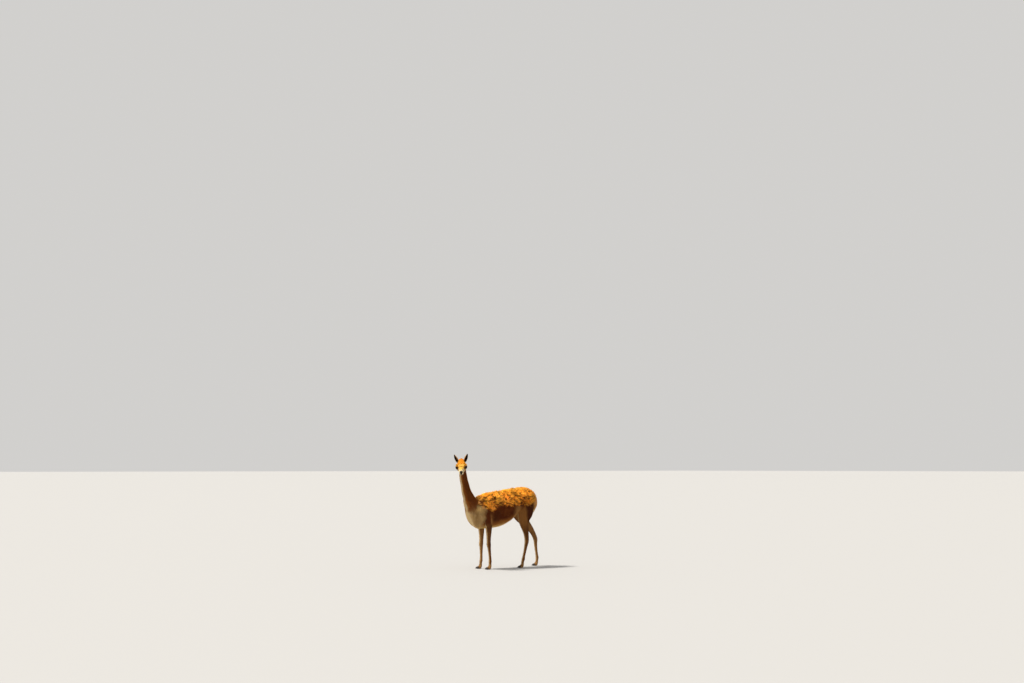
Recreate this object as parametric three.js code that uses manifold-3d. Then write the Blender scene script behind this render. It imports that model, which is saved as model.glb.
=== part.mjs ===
// Vicuna, life size, standing square in front with one hind leg set back.
// Its head is raised and turned to its left.
// Millimetres. +Z is up, the animal faces -Y and its left side is +X.
// The origin lies on the floor, under the middle of the animal's outline seen from above.
import * as THREE from "three";
import { mergeVertices } from "three/addons/utils/BufferGeometryUtils.js";
import Module from "manifold-3d";

const wasm = await Module();
wasm.setup();

const GAP = 0.3; // between neighbouring nodes
const DEGREE = Math.PI / 180;
const FAR = 420; // outside the animal, where lines start that look for its surface

// Trunk, to the tips of the coat: place along the body, top, bottom, half width.
const TRUNK_ROWS = [
  [-460, 704, 640, 26],
  [-444, 748, 592, 64],
  [-402, 802, 530, 97],
  [-335, 850, 480, 124],
  [-240, 884, 474, 141],
  [-130, 900, 478, 157],
  [-20, 911, 496, 168],
  [90, 925, 545, 172],
  [190, 941, 616, 170],
  [275, 952, 652, 166],
  [350, 953, 650, 158],
  [418, 932, 656, 142],
  [470, 892, 668, 114],
  [498, 836, 704, 68],
];
const TRUNK_TAPER = 0.1; // how much narrower the ring is above its middle
const TRUNK_FULL = 0.92; // under 1 gives fuller flanks than an ellipse

// Neck: centre x, y, z, then half width across and half depth fore and aft.
const NECK_ROWS = [
  [0, -272, 640, 66, 108],
  [0, -354, 702, 74, 106],
  [0, -430, 772, 68, 88],
  [0, -469, 845, 57, 67],
  [1, -500, 910, 50, 57],
  [5, -520, 976, 45.5, 51],
  [10, -544, 1045, 43, 47],
  [18, -561, 1112, 43, 46],
  [26, -574, 1172, 43, 44],
  [31, -579, 1218, 40, 39],
  [34, -585, 1248, 31, 30],
  [36, -590, 1268, 14, 14],
];
const NECK_CUT = { at: [0, -420, 776], lean: 38 * DEGREE }; // the plane where the neck leaves the trunk

// Flesh between the neck's front and the chest, as in the neck.
const BRISKET_ROWS = [
  [0, -462, 820, 34, 30],
  [0, -450, 764, 56, 40],
  [0, -434, 706, 70, 46],
  [0, -418, 650, 78, 48],
  [0, -388, 588, 78, 50],
  [0, -352, 540, 60, 44],
];

// Head: where it sits and how it is turned, then its rings from nape to nose:
// forward, top, bottom, half width, how much wider above than below.
const HEAD_PLACE = [39, -597, 1219];
const HEAD_YAW = 52 * DEGREE; // to the animal's left
const HEAD_PITCH = 28 * DEGREE; // nose down
const HEAD_ROLL = 4 * DEGREE; // left side up
const HEAD_ROWS = [
  [-52, 38, -8, 22, 0],
  [-40, 62, -32, 37, -0.05],
  [-20, 74, -50, 48, -0.16],
  [5, 75, -60, 55, -0.26],
  [30, 65, -64, 62, -0.12],
  [45, 52, -64, 66, 0.08],
  [60, 38, -63, 61, 0.14],
  [80, 26, -61, 48, 0.1],
  [102, 18, -59, 37, 0],
  [126, 12, -58, 29, -0.08],
  [148, 6, -56, 25.5, -0.1],
  [160, 1, -53, 22, -0.08],
  [169, -9, -43, 13, 0],
];
const EYE = { forward: 62, out: 44, up: -2, radius: 19 };
const EYE_LOOK = [0.64, 0.77, 0.04]; // forward, out, up
const LID = { thick: 4.5, long: 18, high: 14, slant: 14 * DEGREE };
const NOSTRIL = { forward: 165, out: 9.5, up: -8, radii: [7, 2.6, 5.5], slant: 35 * DEGREE };
const MOUTH = { corner: 118, up: -37, rise: 9, radius: 1.5 };
const EAR = { forward: -6, out: 38, up: 32, length: 100, width: 22, depth: 13, curl: 9 };
EAR.lean = 26 * DEGREE; // outwards
EAR.back = 19 * DEGREE;

// Where the crown's clumps lie on the head and how far each is turned outwards.
const CROWN_CLUMP = { long: 46, wide: 15, thick: 8 };
const CROWN_CLUMPS = [
  { forward: 34, out: 0, turn: 0 },
  { forward: 30, out: 24, turn: -0.5 },
  { forward: 30, out: -24, turn: 0.5 },
  { forward: 4, out: 12, turn: -0.2 },
  { forward: 4, out: -12, turn: 0.2 },
  { forward: 46, out: 34, turn: -0.9 },
  { forward: 46, out: -34, turn: 0.9 },
];

// Leg rings as in the neck, for the left side.
const FORELEG_ROWS = [
  [82, -256, 700, 40, 66],
  [92, -247, 645, 45, 72],
  [96, -233, 583, 43, 63],
  [95, -221, 525, 38, 50],
  [93, -216, 468, 31, 40],
  [92, -215, 400, 26, 31],
  [91, -217, 330, 22.5, 25.5],
  [91, -220, 288, 24, 27],
  [91, -218, 255, 20, 22],
  [91, -216, 190, 16, 18],
  [91, -215, 130, 15, 17],
  [91, -217, 98, 18, 19.5],
  [91, -221, 74, 16.5, 17.5],
  [91, -226, 50, 15, 15.5],
];
const HINDLEG_ROWS = [
  [84, 312, 758, 46, 96],
  [101, 306, 700, 56, 112],
  [108, 290, 640, 55, 106],
  [106, 279, 580, 47, 86],
  [101, 284, 520, 37, 64],
  [97, 302, 458, 29, 46],
  [95, 318, 398, 24, 35],
  [94, 326, 342, 22, 30],
  [93, 326, 304, 22.5, 28],
  [93, 317, 264, 19, 22.5],
  [93, 301, 200, 16.5, 18.5],
  [93, 284, 135, 15.5, 17.5],
  [93, 275, 100, 18.5, 20],
  [93, 267, 74, 17, 18],
  [93, 260, 50, 15.5, 15.5],
];
// The right hind leg is stretched back.
const HINDLEG_BACK_ROWS = [
  [84, 340, 752, 46, 92],
  [101, 352, 700, 56, 102],
  [108, 366, 642, 54, 94],
  [106, 404, 582, 45, 74],
  [101, 462, 522, 36, 55],
  [97, 524, 458, 28.5, 41],
  [95, 568, 402, 24, 33],
  [94, 598, 350, 22, 30],
  [93, 611, 314, 22.5, 28],
  [93, 613, 272, 19, 22.5],
  [93, 620, 203, 16.5, 18.5],
  [93, 631, 135, 15.5, 17.5],
  [93, 637, 100, 18.5, 20],
  [93, 634, 74, 17, 18],
  [93, 627, 50, 15.5, 15.5],
];
// One toe, from the pastern to its tip:
// outwards from the leg's middle, forward of it, height, half width, half height.
const TOE_ROWS = [
  [3, -9, 60, 11.5, 12.5],
  [6, -2, 39, 13, 15],
  [10, 11, 18.5, 14.5, 18],
  [12, 29, 11, 13, 14.5],
  [13.5, 43, 6, 9, 10],
];
const NAIL_ROWS = [
  [12, 26, 22, 5, 5],
  [13.5, 37, 18, 9, 8],
  [14.5, 49, 11, 8.5, 8],
  [15, 59, 5, 4, 4.5],
];

// Each leg: its rings, its side, how far back its foot is moved, how much more its top is,
// the height of the cut at knee or hock, and the outline of its hold on the trunk.
const LEAN_HEIGHT = 300; // over this height the lean is whole
const FETLOCK_CUT = 66;
const HOLD_INSIDE = 32; // the hold starts this far from the middle plane
const FORE_HOLD = [
  [-335, 640],
  [-300, 690],
  [-235, 702],
  [-170, 660],
  [-130, 575],
  [-118, 430],
  [-118, -60],
  [-420, -60],
  [-420, 150],
  [-352, 430],
  [-350, 560],
];
const HIND_HOLD = [
  [110, 600],
  [140, 665],
  [210, 722],
  [300, 740],
  [385, 726],
  [470, 700],
  [720, 640],
  [720, -60],
  [60, -60],
  [60, 430],
  [92, 540],
];
const LEGS = [
  { name: "foreleg_left", rows: FORELEG_ROWS, side: 1, foot: 4, lean: -28, joint: 276, hold: FORE_HOLD },
  { name: "foreleg_right", rows: FORELEG_ROWS, side: -1, foot: 2, lean: 4, joint: 276, hold: FORE_HOLD },
  { name: "hindleg_left", rows: HINDLEG_ROWS, side: 1, foot: 0, lean: 0, joint: 288, hold: HIND_HOLD },
  { name: "hindleg_right", rows: HINDLEG_BACK_ROWS, side: -1, foot: 0, lean: 0, joint: 296, hold: HIND_HOLD },
];

const TAIL_ROWS = [
  [0, 440, 858, 22, 22],
  [0, 476, 844, 28, 24],
  [0, 498, 808, 34, 25],
  [0, 505, 762, 38, 24],
  [0, 501, 714, 35, 21],
  [0, 494, 674, 23, 14],
  [0, 489, 646, 8, 5],
];
const TAIL_ROOM = 10; // kept clear round the tail for its locks
const TAIL_REACH = TAIL_ROWS[0][2] - TAIL_ROWS.at(-1)[2];
const TAIL_LOCKS = [
  { turn: -52, top: 822, long: 118 },
  { turn: 52, top: 812, long: 118 },
  { turn: 0, top: 800, long: 124 },
  { turn: -34, top: 742, long: 112 },
  { turn: 30, top: 734, long: 116 },
];

// Fleece of the back: rounded clumps in staggered rows, their tips down and back.
const FLEECE_SINK = 15; // how far the trunk lies under the tips
const FLEECE_START = [-370, -260]; // between these places it comes out to them, towards the neck
const RUMP = 440; // behind this place the clumps fan out round the rump
const CLUMP = { long: 62, wide: 47, high: 25, alongStep: 84, aroundStep: 66, sides: 8, rings: 4 };
// Lower edge of the fleece: place along the body, height.
const FLEECE_EDGE = [
  [-400, 780],
  [-330, 730],
  [-260, 706],
  [-160, 742],
  [0, 764],
  [200, 772],
  [330, 752],
  [430, 716],
  [500, 720],
];
// Long hair of the bib: locks that hang down the chest.
const BIB = { middle: [0, -300], spread: 70 * DEGREE, wide: 28, thick: 12 };
const BIB_LOCK = { root: -7, tip: 2, full: 0.4, end: 0.35 };
const BIB_TIERS = [
  { count: 5, top: 700, long: 118 },
  { count: 6, top: 634, long: 112 },
  { count: 6, top: 566, long: 96 },
];

// A seeded draw between a and b.
let seed = 20731;
function draw(a, b) {
  seed = (seed * 16807) % 2147483647;
  return a + ((b - a) * seed) / 2147483647;
}

// A row of numbers read at t from 0 to 1, on a smooth curve through all the rows.
function rowAt(rows, t) {
  const x = THREE.MathUtils.clamp(t, 0, 1) * (rows.length - 1);
  const i = Math.min(Math.floor(x), rows.length - 2);
  const f = x - i;
  const [a, b, c, d] = [-1, 0, 1, 2].map((k) => rows[THREE.MathUtils.clamp(i + k, 0, rows.length - 1)]);
  return b.map(
    (_, k) =>
      0.5 *
      (2 * b[k] +
        (c[k] - a[k]) * f +
        (2 * a[k] - 5 * b[k] + 4 * c[k] - d[k]) * f * f +
        (3 * b[k] - a[k] - 3 * c[k] + d[k]) * f * f * f),
  );
}

// The value at x on straight lines through rows of x and value.
function along(rows, x) {
  const i = THREE.MathUtils.clamp(rows.findIndex((row) => row[0] > x) - 1, 0, rows.length - 2);
  const f = THREE.MathUtils.clamp((x - rows[i][0]) / (rows[i + 1][0] - rows[i][0]), 0, 1);
  return x > rows.at(-1)[0] ? rows.at(-1)[1] : THREE.MathUtils.lerp(rows[i][1], rows[i + 1][1], f);
}

// A closed geometry from rings of points; each end closes on a point pushed out from its ring by bulge.
function closedRings(rings, bulge = 0) {
  const sides = rings[0].length;
  const points = rings.flat();
  const index = [];
  for (let r = 0; r + 1 < rings.length; r++)
    for (let s = 0; s < sides; s++) {
      const next = (s + 1) % sides;
      const [a, b, c, d] = [r * sides + s, r * sides + next, (r + 1) * sides + s, (r + 1) * sides + next];
      index.push(a, b, d, a, d, c);
    }
  const middle = (ring) => ring.reduce((m, p) => m.addScaledVector(p, 1 / sides), new THREE.Vector3());
  [
    [0, 1],
    [rings.length - 1, rings.length - 2],
  ].forEach(([end, inner], which) => {
    const pole = middle(rings[end]);
    pole.addScaledVector(pole.clone().sub(middle(rings[inner])).normalize(), bulge);
    points.push(pole);
    for (let s = 0; s < sides; s++) {
      const [a, b] = [end * sides + s, end * sides + ((s + 1) % sides)];
      index.push(...(which ? [a, b, points.length - 1] : [b, a, points.length - 1]));
    }
  });
  return new THREE.BufferGeometry().setFromPoints(points).setIndex(index);
}

// A geometry as a solid, turned to face out.
function solidOf(geometry) {
  const bare = geometry.clone();
  bare.deleteAttribute("normal");
  bare.deleteAttribute("uv");
  const merged = mergeVertices(bare, 1e-3);
  const triVerts = new Uint32Array(merged.index.array);
  const p = merged.attributes.position;
  const corner = [0, 1, 2].map(() => new THREE.Vector3());
  let volume = 0;
  for (let i = 0; i < triVerts.length; i += 3) {
    corner.forEach((v, k) => v.fromBufferAttribute(p, triVerts[i + k]));
    volume += corner[0].dot(corner[1].clone().cross(corner[2]));
  }
  if (volume < 0)
    for (let i = 0; i < triVerts.length; i += 3)
      [triVerts[i + 1], triVerts[i + 2]] = [triVerts[i + 2], triVerts[i + 1]];
  return new wasm.Manifold(new wasm.Mesh({ numProp: 3, vertProperties: p.array, triVerts }));
}

// A solid's surface as a geometry.
function geometryOf(solid) {
  const mesh = solid.getMesh();
  const points = new Float32Array(mesh.numVert * 3);
  for (let i = 0; i < mesh.numVert; i++)
    points.set(mesh.vertProperties.subarray(i * mesh.numProp, i * mesh.numProp + 3), i * 3);
  const geometry = new THREE.BufferGeometry();
  geometry.setAttribute("position", new THREE.BufferAttribute(points, 3));
  return geometry.setIndex(new THREE.BufferAttribute(mesh.triVerts, 1));
}

const join = (solids) => wasm.Manifold.union(solids);
const largest = (solid) => solid.decompose().reduce((a, b) => (b.volume() > a.volume() ? b : a));
const vector = (p) => new THREE.Vector3(...p);

// A tube along rows of x, y, z, half width and half depth. grow makes it thicker all round.
function tube(rows, { across = new THREE.Vector3(1, 0, 0), rings = 16, sides = 12, grow = 0 } = {}) {
  const made = [];
  for (let r = 0; r < rings; r++) {
    const t = r / (rings - 1);
    const [x, y, z, wide, deep] = rowAt(rows, t);
    const [before, after] = [t - 0.01, t + 0.01].map((at) => vector(rowAt(rows, at).slice(0, 3)));
    const ahead = after.sub(before).normalize();
    const u = across.clone().addScaledVector(ahead, -across.dot(ahead)).normalize();
    const v = ahead.clone().cross(u);
    made.push(
      Array.from({ length: sides }, (_, s) => {
        const angle = (2 * Math.PI * s) / sides;
        return new THREE.Vector3(x, y, z)
          .addScaledVector(u, (wide + grow) * Math.cos(angle))
          .addScaledVector(v, (deep + grow) * Math.sin(angle));
      }),
    );
  }
  return solidOf(closedRings(made, grow));
}

// A surface that locks and clumps can be laid on: touch gives the point and normal where a line comes in.
function skinOf(solid) {
  const mesh = new THREE.Mesh(geometryOf(solid), new THREE.MeshBasicMaterial({ side: THREE.DoubleSide }));
  mesh.geometry.computeBoundingSphere();
  const ray = new THREE.Raycaster();
  return (from, to) => {
    ray.set(from, to.clone().sub(from).normalize());
    const hit = ray.intersectObject(mesh)[0];
    return hit && { point: hit.point, normal: hit.face.normal };
  };
}

// A lock of hair: a flat tube through places that each have a point and a normal.
// Its root is sunk, its tip thin, and it is at its widest at the share full of its length.
function lock(places, wide, thick, { root = -6, tip = 3, full = 0.35, end = 0.12, sides = 6 } = {}) {
  const last = places.length - 1;
  const rows = places.map(({ point, normal }, k) => {
    const t = k / last;
    const swell = t < full ? 0.62 + 0.38 * Math.sin((Math.PI / 2) * (t / full)) : 1;
    const taper = t < full ? 1 : end + (1 - end) * Math.cos((Math.PI / 2) * ((t - full) / (1 - full)));
    const p = point.clone().addScaledVector(normal, root + (tip - root) * Math.min(1, t * 1.6));
    return [p.x, p.y, p.z, wide * swell * taper, thick * swell * (0.35 + 0.65 * taper)];
  });
  const ahead = places[last].point.clone().sub(places[0].point);
  const across = ahead.cross(places[Math.floor(last / 2)].normal).normalize();
  return tube(rows, { across, rings: places.length, sides });
}

// The trunk's own solid lies under the tips of the fleece on the back,
// and comes out to the short coat below it.
function trunk(grow = 0) {
  const [rings, sides] = [24, 20];
  const made = Array.from({ length: rings }, (_, r) => {
    const [y, top, bottom, wide] = rowAt(TRUNK_ROWS, r / (rings - 1));
    const edge = along(FLEECE_EDGE, y);
    const sink = FLEECE_SINK * THREE.MathUtils.smoothstep(y, ...FLEECE_START);
    return Array.from({ length: sides }, (__, s) => {
      const [c, up] = [Math.cos((2 * Math.PI * s) / sides), Math.sin((2 * Math.PI * s) / sides)];
      const z = (top + bottom) / 2 + ((top - bottom) / 2) * up;
      const more = grow - sink * THREE.MathUtils.smoothstep(z, edge - 25, edge + 20);
      const out = (wide + more) * Math.sign(c) * Math.abs(c) ** TRUNK_FULL * (1 - TRUNK_TAPER * up);
      return new THREE.Vector3(out, y, (top + bottom) / 2 + ((top - bottom) / 2 + more) * up);
    });
  });
  return solidOf(closedRings(made, 2 + grow));
}

// Clumps over the back and upper flanks, from withers to rump.
function fleece(touch) {
  const clumps = [];
  const from = TRUNK_ROWS[1][0] + 60;
  const to = TRUNK_ROWS.at(-1)[0] - 10;
  const columns = Math.round((to - from) / CLUMP.alongStep);
  for (let i = 0; i <= columns; i++) {
    const y = from + ((to - from) * i) / columns;
    const [, top, bottom] = rowAt(TRUNK_ROWS, trunkPlace(y));
    const middle = (top + bottom) / 2 + 30;
    const around = CLUMP.aroundStep / (top - middle);
    for (let k = -5; k <= 5; k++) {
      const turn = (k + (i % 2) / 2) * around; // from the ridge, to the left
      const clump = clumpAt(touch, y + draw(-12, 12), turn + draw(-0.07, 0.07), middle);
      if (clump) clumps.push(clump);
    }
  }
  return clumps;
}

// The t of the trunk's rows at y.
function trunkPlace(y) {
  let [low, high] = [0, 1];
  for (let k = 0; k < 30; k++) {
    const t = (low + high) / 2;
    if (rowAt(TRUNK_ROWS, t)[0] < y) low = t;
    else high = t;
  }
  return low;
}

// One clump, whose middle lies at y along the body and turned from the ridge to the left.
function clumpAt(touch, y, turn, middle) {
  const inner = new THREE.Vector3(0, Math.min(y, RUMP), middle);
  const out = new THREE.Vector3(Math.sin(turn), (y - inner.y) / 120, Math.cos(turn));
  const first = touch(inner.clone().addScaledVector(out, FAR), inner);
  if (!first || first.point.z < along(FLEECE_EDGE, y) + 12) return null;
  if (first.point.dot(vector(cutNormal)) > cutHeight - CLUMP.wide) return null;
  const side = Math.abs(turn) < 0.08 ? Math.sign(draw(-1, 1)) : Math.sign(turn);
  const heading = draw(15, 60) * DEGREE; // 0 is straight back, 90 straight down the flank
  const down = new THREE.Vector3(0, 1, 0).cross(first.normal).multiplyScalar(side);
  const ahead = new THREE.Vector3(0, Math.cos(heading), 0).addScaledVector(down, Math.sin(heading));
  ahead.addScaledVector(first.normal, -ahead.dot(first.normal)).normalize();
  // The lower end stands out a little, as the tip of a lock does.
  ahead.applyAxisAngle(first.normal.clone().cross(ahead), -draw(0, 6) * DEGREE);
  const across = ahead.clone().cross(first.normal).normalize();
  const normal = across.clone().cross(ahead);
  const size = draw(0.88, 1.1);
  const radii = [CLUMP.long * size, CLUMP.high * size, CLUMP.wide * size];
  const at = first.point.clone().addScaledVector(first.normal, draw(-10, -6));
  return ball(at, [ahead, normal, across.negate()], radii, [CLUMP.sides, CLUMP.rings]);
}

// Locks that hang down the chest, in three tiers.
function bib(touch) {
  const locks = [];
  BIB_TIERS.forEach(({ count, top, long }, tier) => {
    for (let i = 0; i < count; i++) {
      const turn = BIB.spread * ((2 * (i + (tier % 2 ? 0.5 : 0.25))) / count - 1) + draw(-0.05, 0.05);
      const start = top + draw(-12, 12) + 16 * Math.abs(Math.sin(turn));
      const drift = draw(-0.08, 0.08);
      const places = [];
      for (let k = 0; k <= 3; k++) {
        const z = start - (long * k) / 3;
        const angle = turn * (1 - 0.07 * k) + (drift * k) / 3;
        const inner = new THREE.Vector3(...BIB.middle, z);
        const out = new THREE.Vector3(Math.sin(angle), -Math.cos(angle), 0);
        const at = touch(inner.clone().addScaledVector(out, FAR), inner);
        if (at) places.push(at);
        else if (places.length) {
          const { point, normal } = places.at(-1);
          places.push({ point: point.clone().add(new THREE.Vector3(0, 10, -long / 5)), normal });
        }
      }
      if (places.length === 4)
        locks.push(lock(places, BIB.wide * draw(0.85, 1.15), BIB.thick, BIB_LOCK));
    }
  });
  return locks;
}

// Locks on the back of the tail.
function tailLocks(touch) {
  return TAIL_LOCKS.map(({ turn, top, long }) => {
    const out = new THREE.Vector3(Math.sin(turn * DEGREE), Math.cos(turn * DEGREE), 0);
    const places = [];
    for (let k = 0; k <= 3; k++) {
      const z = top - (long * k) / 3;
      const inner = new THREE.Vector3(0, rowAt(TAIL_ROWS, (TAIL_ROWS[0][2] - z) / TAIL_REACH)[1], z);
      places.push(touch(inner.clone().addScaledVector(out, 90), inner) ?? { point: inner, normal: out });
    }
    return lock(places, 17, 8, { root: -5, tip: 1, full: 0.4, end: 0.3 });
  });
}

// The head's own axes.
const flat = new THREE.Vector3(Math.sin(HEAD_YAW), -Math.cos(HEAD_YAW), 0);
const HEAD_FORWARD = flat
  .clone()
  .multiplyScalar(Math.cos(HEAD_PITCH))
  .add(new THREE.Vector3(0, 0, -Math.sin(HEAD_PITCH)));
const HEAD_OUT = new THREE.Vector3(0, 0, 1).cross(flat).applyAxisAngle(HEAD_FORWARD, HEAD_ROLL);
const HEAD_UP = HEAD_FORWARD.clone().cross(HEAD_OUT);

// A point, or a direction, given in the head's own measures: forward, towards its left, up.
const headWay = (forward, out, up) =>
  new THREE.Vector3()
    .addScaledVector(HEAD_FORWARD, forward)
    .addScaledVector(HEAD_OUT, out)
    .addScaledVector(HEAD_UP, up);
const onHead = (forward, out, up) => vector(HEAD_PLACE).add(headWay(forward, out, up));

function skull(grow = 0) {
  const [rings, sides] = [22, 18];
  const made = Array.from({ length: rings }, (_, r) => {
    const [forward, top, bottom, wide, wider] = rowAt(HEAD_ROWS, r / (rings - 1));
    return Array.from({ length: sides }, (__, s) => {
      const angle = (2 * Math.PI * s) / sides;
      const out = (wide + grow) * Math.cos(angle) * (1 + wider * Math.sin(angle));
      return onHead(forward, out, (top + bottom) / 2 + ((top - bottom) / 2 + grow) * Math.sin(angle));
    });
  });
  return solidOf(closedRings(made, 4 + grow));
}

// A ball at a place on the head, with its radii along three directions at right angles.
function ball(middle, [a, b, c], [ra, rb, rc], detail = [12, 8]) {
  const place = new THREE.Matrix4().makeBasis(
    a.clone().multiplyScalar(ra),
    b.clone().multiplyScalar(rb),
    c.clone().multiplyScalar(rc),
  );
  return solidOf(new THREE.SphereGeometry(1, ...detail).applyMatrix4(place.setPosition(middle)));
}

const eyeMiddle = (side) => onHead(EYE.forward, side * EYE.out, EYE.up);
function eyeBall(side, grow = 0) {
  const r = EYE.radius + grow;
  return ball(eyeMiddle(side), [HEAD_FORWARD, HEAD_OUT, HEAD_UP], [r, r, r], [12, 8]);
}

// The lids: a thicker ball round the eye, and the almond-shaped opening that is cut from it.
function lid(side) {
  const look = headWay(EYE_LOOK[0], side * EYE_LOOK[1], EYE_LOOK[2]).normalize();
  const line = headWay(Math.cos(LID.slant), 0, -Math.sin(LID.slant));
  line.addScaledVector(look, -line.dot(look)).normalize();
  const over = look.clone().cross(line);
  const r = EYE.radius + LID.thick;
  const opening = eyeMiddle(side).addScaledVector(look, EYE.radius + 6);
  return {
    skin: ball(eyeMiddle(side), [look, line, over], [r, r * 1.06, r], [12, 9]),
    opening: ball(opening, [look, line, over], [16, LID.long, LID.high], [12, 8]),
  };
}

function nostril(side) {
  const slit = headWay(0, side * Math.sin(NOSTRIL.slant), Math.cos(NOSTRIL.slant));
  const across = HEAD_FORWARD.clone().cross(slit);
  const middle = onHead(NOSTRIL.forward, side * NOSTRIL.out, NOSTRIL.up);
  return ball(middle, [HEAD_FORWARD, across, slit], NOSTRIL.radii, [8, 5]);
}

// The line of the mouth: a thin tube along the muzzle's surface, from corner to corner.
function mouthLine(touch) {
  const rows = [];
  for (let k = -6; k <= 6; k++) {
    const turn = (k / 6) * 84 * DEGREE;
    const corner = (k / 6) ** 2;
    const up = MOUTH.up + MOUTH.rise * corner;
    const inner = onHead(MOUTH.corner + 8, 0, up);
    const at = touch(inner.clone().add(headWay(90 * Math.cos(turn), 90 * Math.sin(turn), 0)), inner);
    const p = at.point.addScaledVector(at.normal, 0.2);
    rows.push([p.x, p.y, p.z, MOUTH.radius * 1.4, MOUTH.radius]);
  }
  return tube(rows, { across: HEAD_UP.clone().negate(), rings: 13, sides: 5 });
}

// One leaf of an ear, from one part of its length to another: scale narrows it, ahead moves it forward.
function earLeaf(side, { from = 0, to = 0.985, scale = 1, ahead = 0, grow = 0 } = {}) {
  const root = onHead(EAR.forward, side * EAR.out, EAR.up);
  const upright = Math.cos(EAR.lean);
  const up = headWay(-upright * Math.sin(EAR.back), side * Math.sin(EAR.lean), upright * Math.cos(EAR.back));
  const face = headWay(1, side * 0.35, 0);
  face.addScaledVector(up, -face.dot(up)).normalize();
  const rows = [];
  for (let k = 0; k <= 6; k++) {
    const t = from + ((to - from) * k) / 6;
    const shape = (0.62 + 1.5 * t - 2.07 * t * t) * scale; // widest at a third, pointed at the tip
    const p = root.clone().addScaledVector(up, EAR.length * t);
    p.addScaledVector(face, ahead - EAR.curl * t * t);
    rows.push([p.x, p.y, p.z, EAR.width * shape, EAR.depth * shape]);
  }
  return tube(rows, { across: up.clone().cross(face), rings: 8, sides: 8, grow });
}

// An ear is a pointed leaf with a narrower leaf cut out of its front.
const ear = (side) => earLeaf(side).subtract(earLeaf(side, { from: 0.13, to: 0.93, scale: 0.78, ahead: 6.5 }));

// Clumps of wool on the crown, in front of the ears.
function crown(touch) {
  return CROWN_CLUMPS.map(({ forward, out, turn }) => {
    const places = [];
    for (let k = 0; k <= 3; k++) {
      const reach = CROWN_CLUMP.long * (k / 3 - 0.4);
      const inner = onHead(20, 0, 10);
      const over = onHead(forward + reach * Math.cos(turn), out - reach * Math.sin(turn), 84);
      places.push(touch(inner.clone().add(over.sub(inner).multiplyScalar(3)), inner));
    }
    return lock(places, CROWN_CLUMP.wide, CROWN_CLUMP.thick, { root: -5, tip: 1, full: 0.45, end: 0.3 });
  });
}

// The straight-sided block that holds a leg on to the trunk, seen from the side as an outline.
function hold(leg, grow = 0) {
  const points = leg.hold.map((p) => new THREE.Vector2(...p));
  const middle = points.reduce((m, p) => m.addScaledVector(p, 1 / points.length), new THREE.Vector2());
  points.forEach((p) => p.addScaledVector(p.clone().sub(middle).normalize(), grow));
  const block = new THREE.ExtrudeGeometry(new THREE.Shape(points), { depth: 220, bevelEnabled: false });
  // The outline's x and y become y and z, and the depth runs outwards along x.
  const place = new THREE.Matrix4().makeBasis(vector([0, 1, 0]), vector([0, 0, 1]), vector([leg.side, 0, 0]));
  place.setPosition(leg.side * (HOLD_INSIDE - grow), 0, 0);
  return solidOf(block.applyMatrix4(place));
}

const legRows = (leg) =>
  leg.rows.map(([x, y, z, wide, deep]) => {
    const shift = leg.foot + leg.lean * Math.min(1, (z - 50) / LEAN_HEIGHT);
    return [leg.side * x, y + shift, z, wide, deep];
  });
const legTube = (leg, grow = 0) => tube(legRows(leg), { rings: 21, sides: 10, grow });

// A toe or a nail, from rows given from the leg's middle.
function toePiece(leg, rows, which, { grow = 0, rings = 5 } = {}) {
  const [x, y] = legRows(leg).at(-1);
  const placed = rows.map(([out, forward, z, wide, high]) => [x + which * out, y - forward, z, wide, high]);
  return tube(placed, { rings, sides: 7, grow });
}

const tailTube = (grow = 0) => tube(TAIL_ROWS, { rings: 12, sides: 12, grow });

const FLOOR = solidOf(new THREE.BoxGeometry(3000, 3000, 200).translate(0, 0, -100));
const colour = {
  fleece: 0xc98a45,
  tan: 0xb98a55,
  nail: 0x2c2621,
  eye: 0x0d0b0a,
};

const animal = new THREE.Group();
function addNode(name, solid, color, roughness = 0.95) {
  const material = new THREE.MeshStandardMaterial({ color, roughness, metalness: 0 });
  const node = new THREE.Mesh(geometryOf(largest(solid)), material);
  node.name = name;
  animal.add(node);
}

// Trunk, neck and legs are made whole, then parted.
const cutNormal = [0, -Math.sin(NECK_CUT.lean), Math.cos(NECK_CUT.lean)];
const cutHeight = vector(NECK_CUT.at).dot(vector(cutNormal));
const headGrown = skull(GAP);
const neck = tube(NECK_ROWS, { rings: 15, sides: 16 });
const core = trunk();
const flesh = join([core, neck, tube(BRISKET_ROWS, { rings: 9 })]);
const tailWhole = join([tailTube(), ...tailLocks(skinOf(tailTube()))]);
const wool = join([...fleece(skinOf(core)), ...bib(skinOf(flesh))]).subtract(tailTube(TAIL_ROOM));
const whole = join([flesh.subtract(headGrown), ...LEGS.map((leg) => legTube(leg)), wool]);
const above = whole.trimByPlane(cutNormal, cutHeight + GAP / 2);
const below = whole.trimByPlane(
  cutNormal.map((n) => -n),
  -cutHeight + GAP / 2,
);
addNode("torso", below.subtract(join(LEGS.map((leg) => hold(leg, GAP)))), colour.fleece);
addNode("neck", above, colour.fleece);

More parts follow.
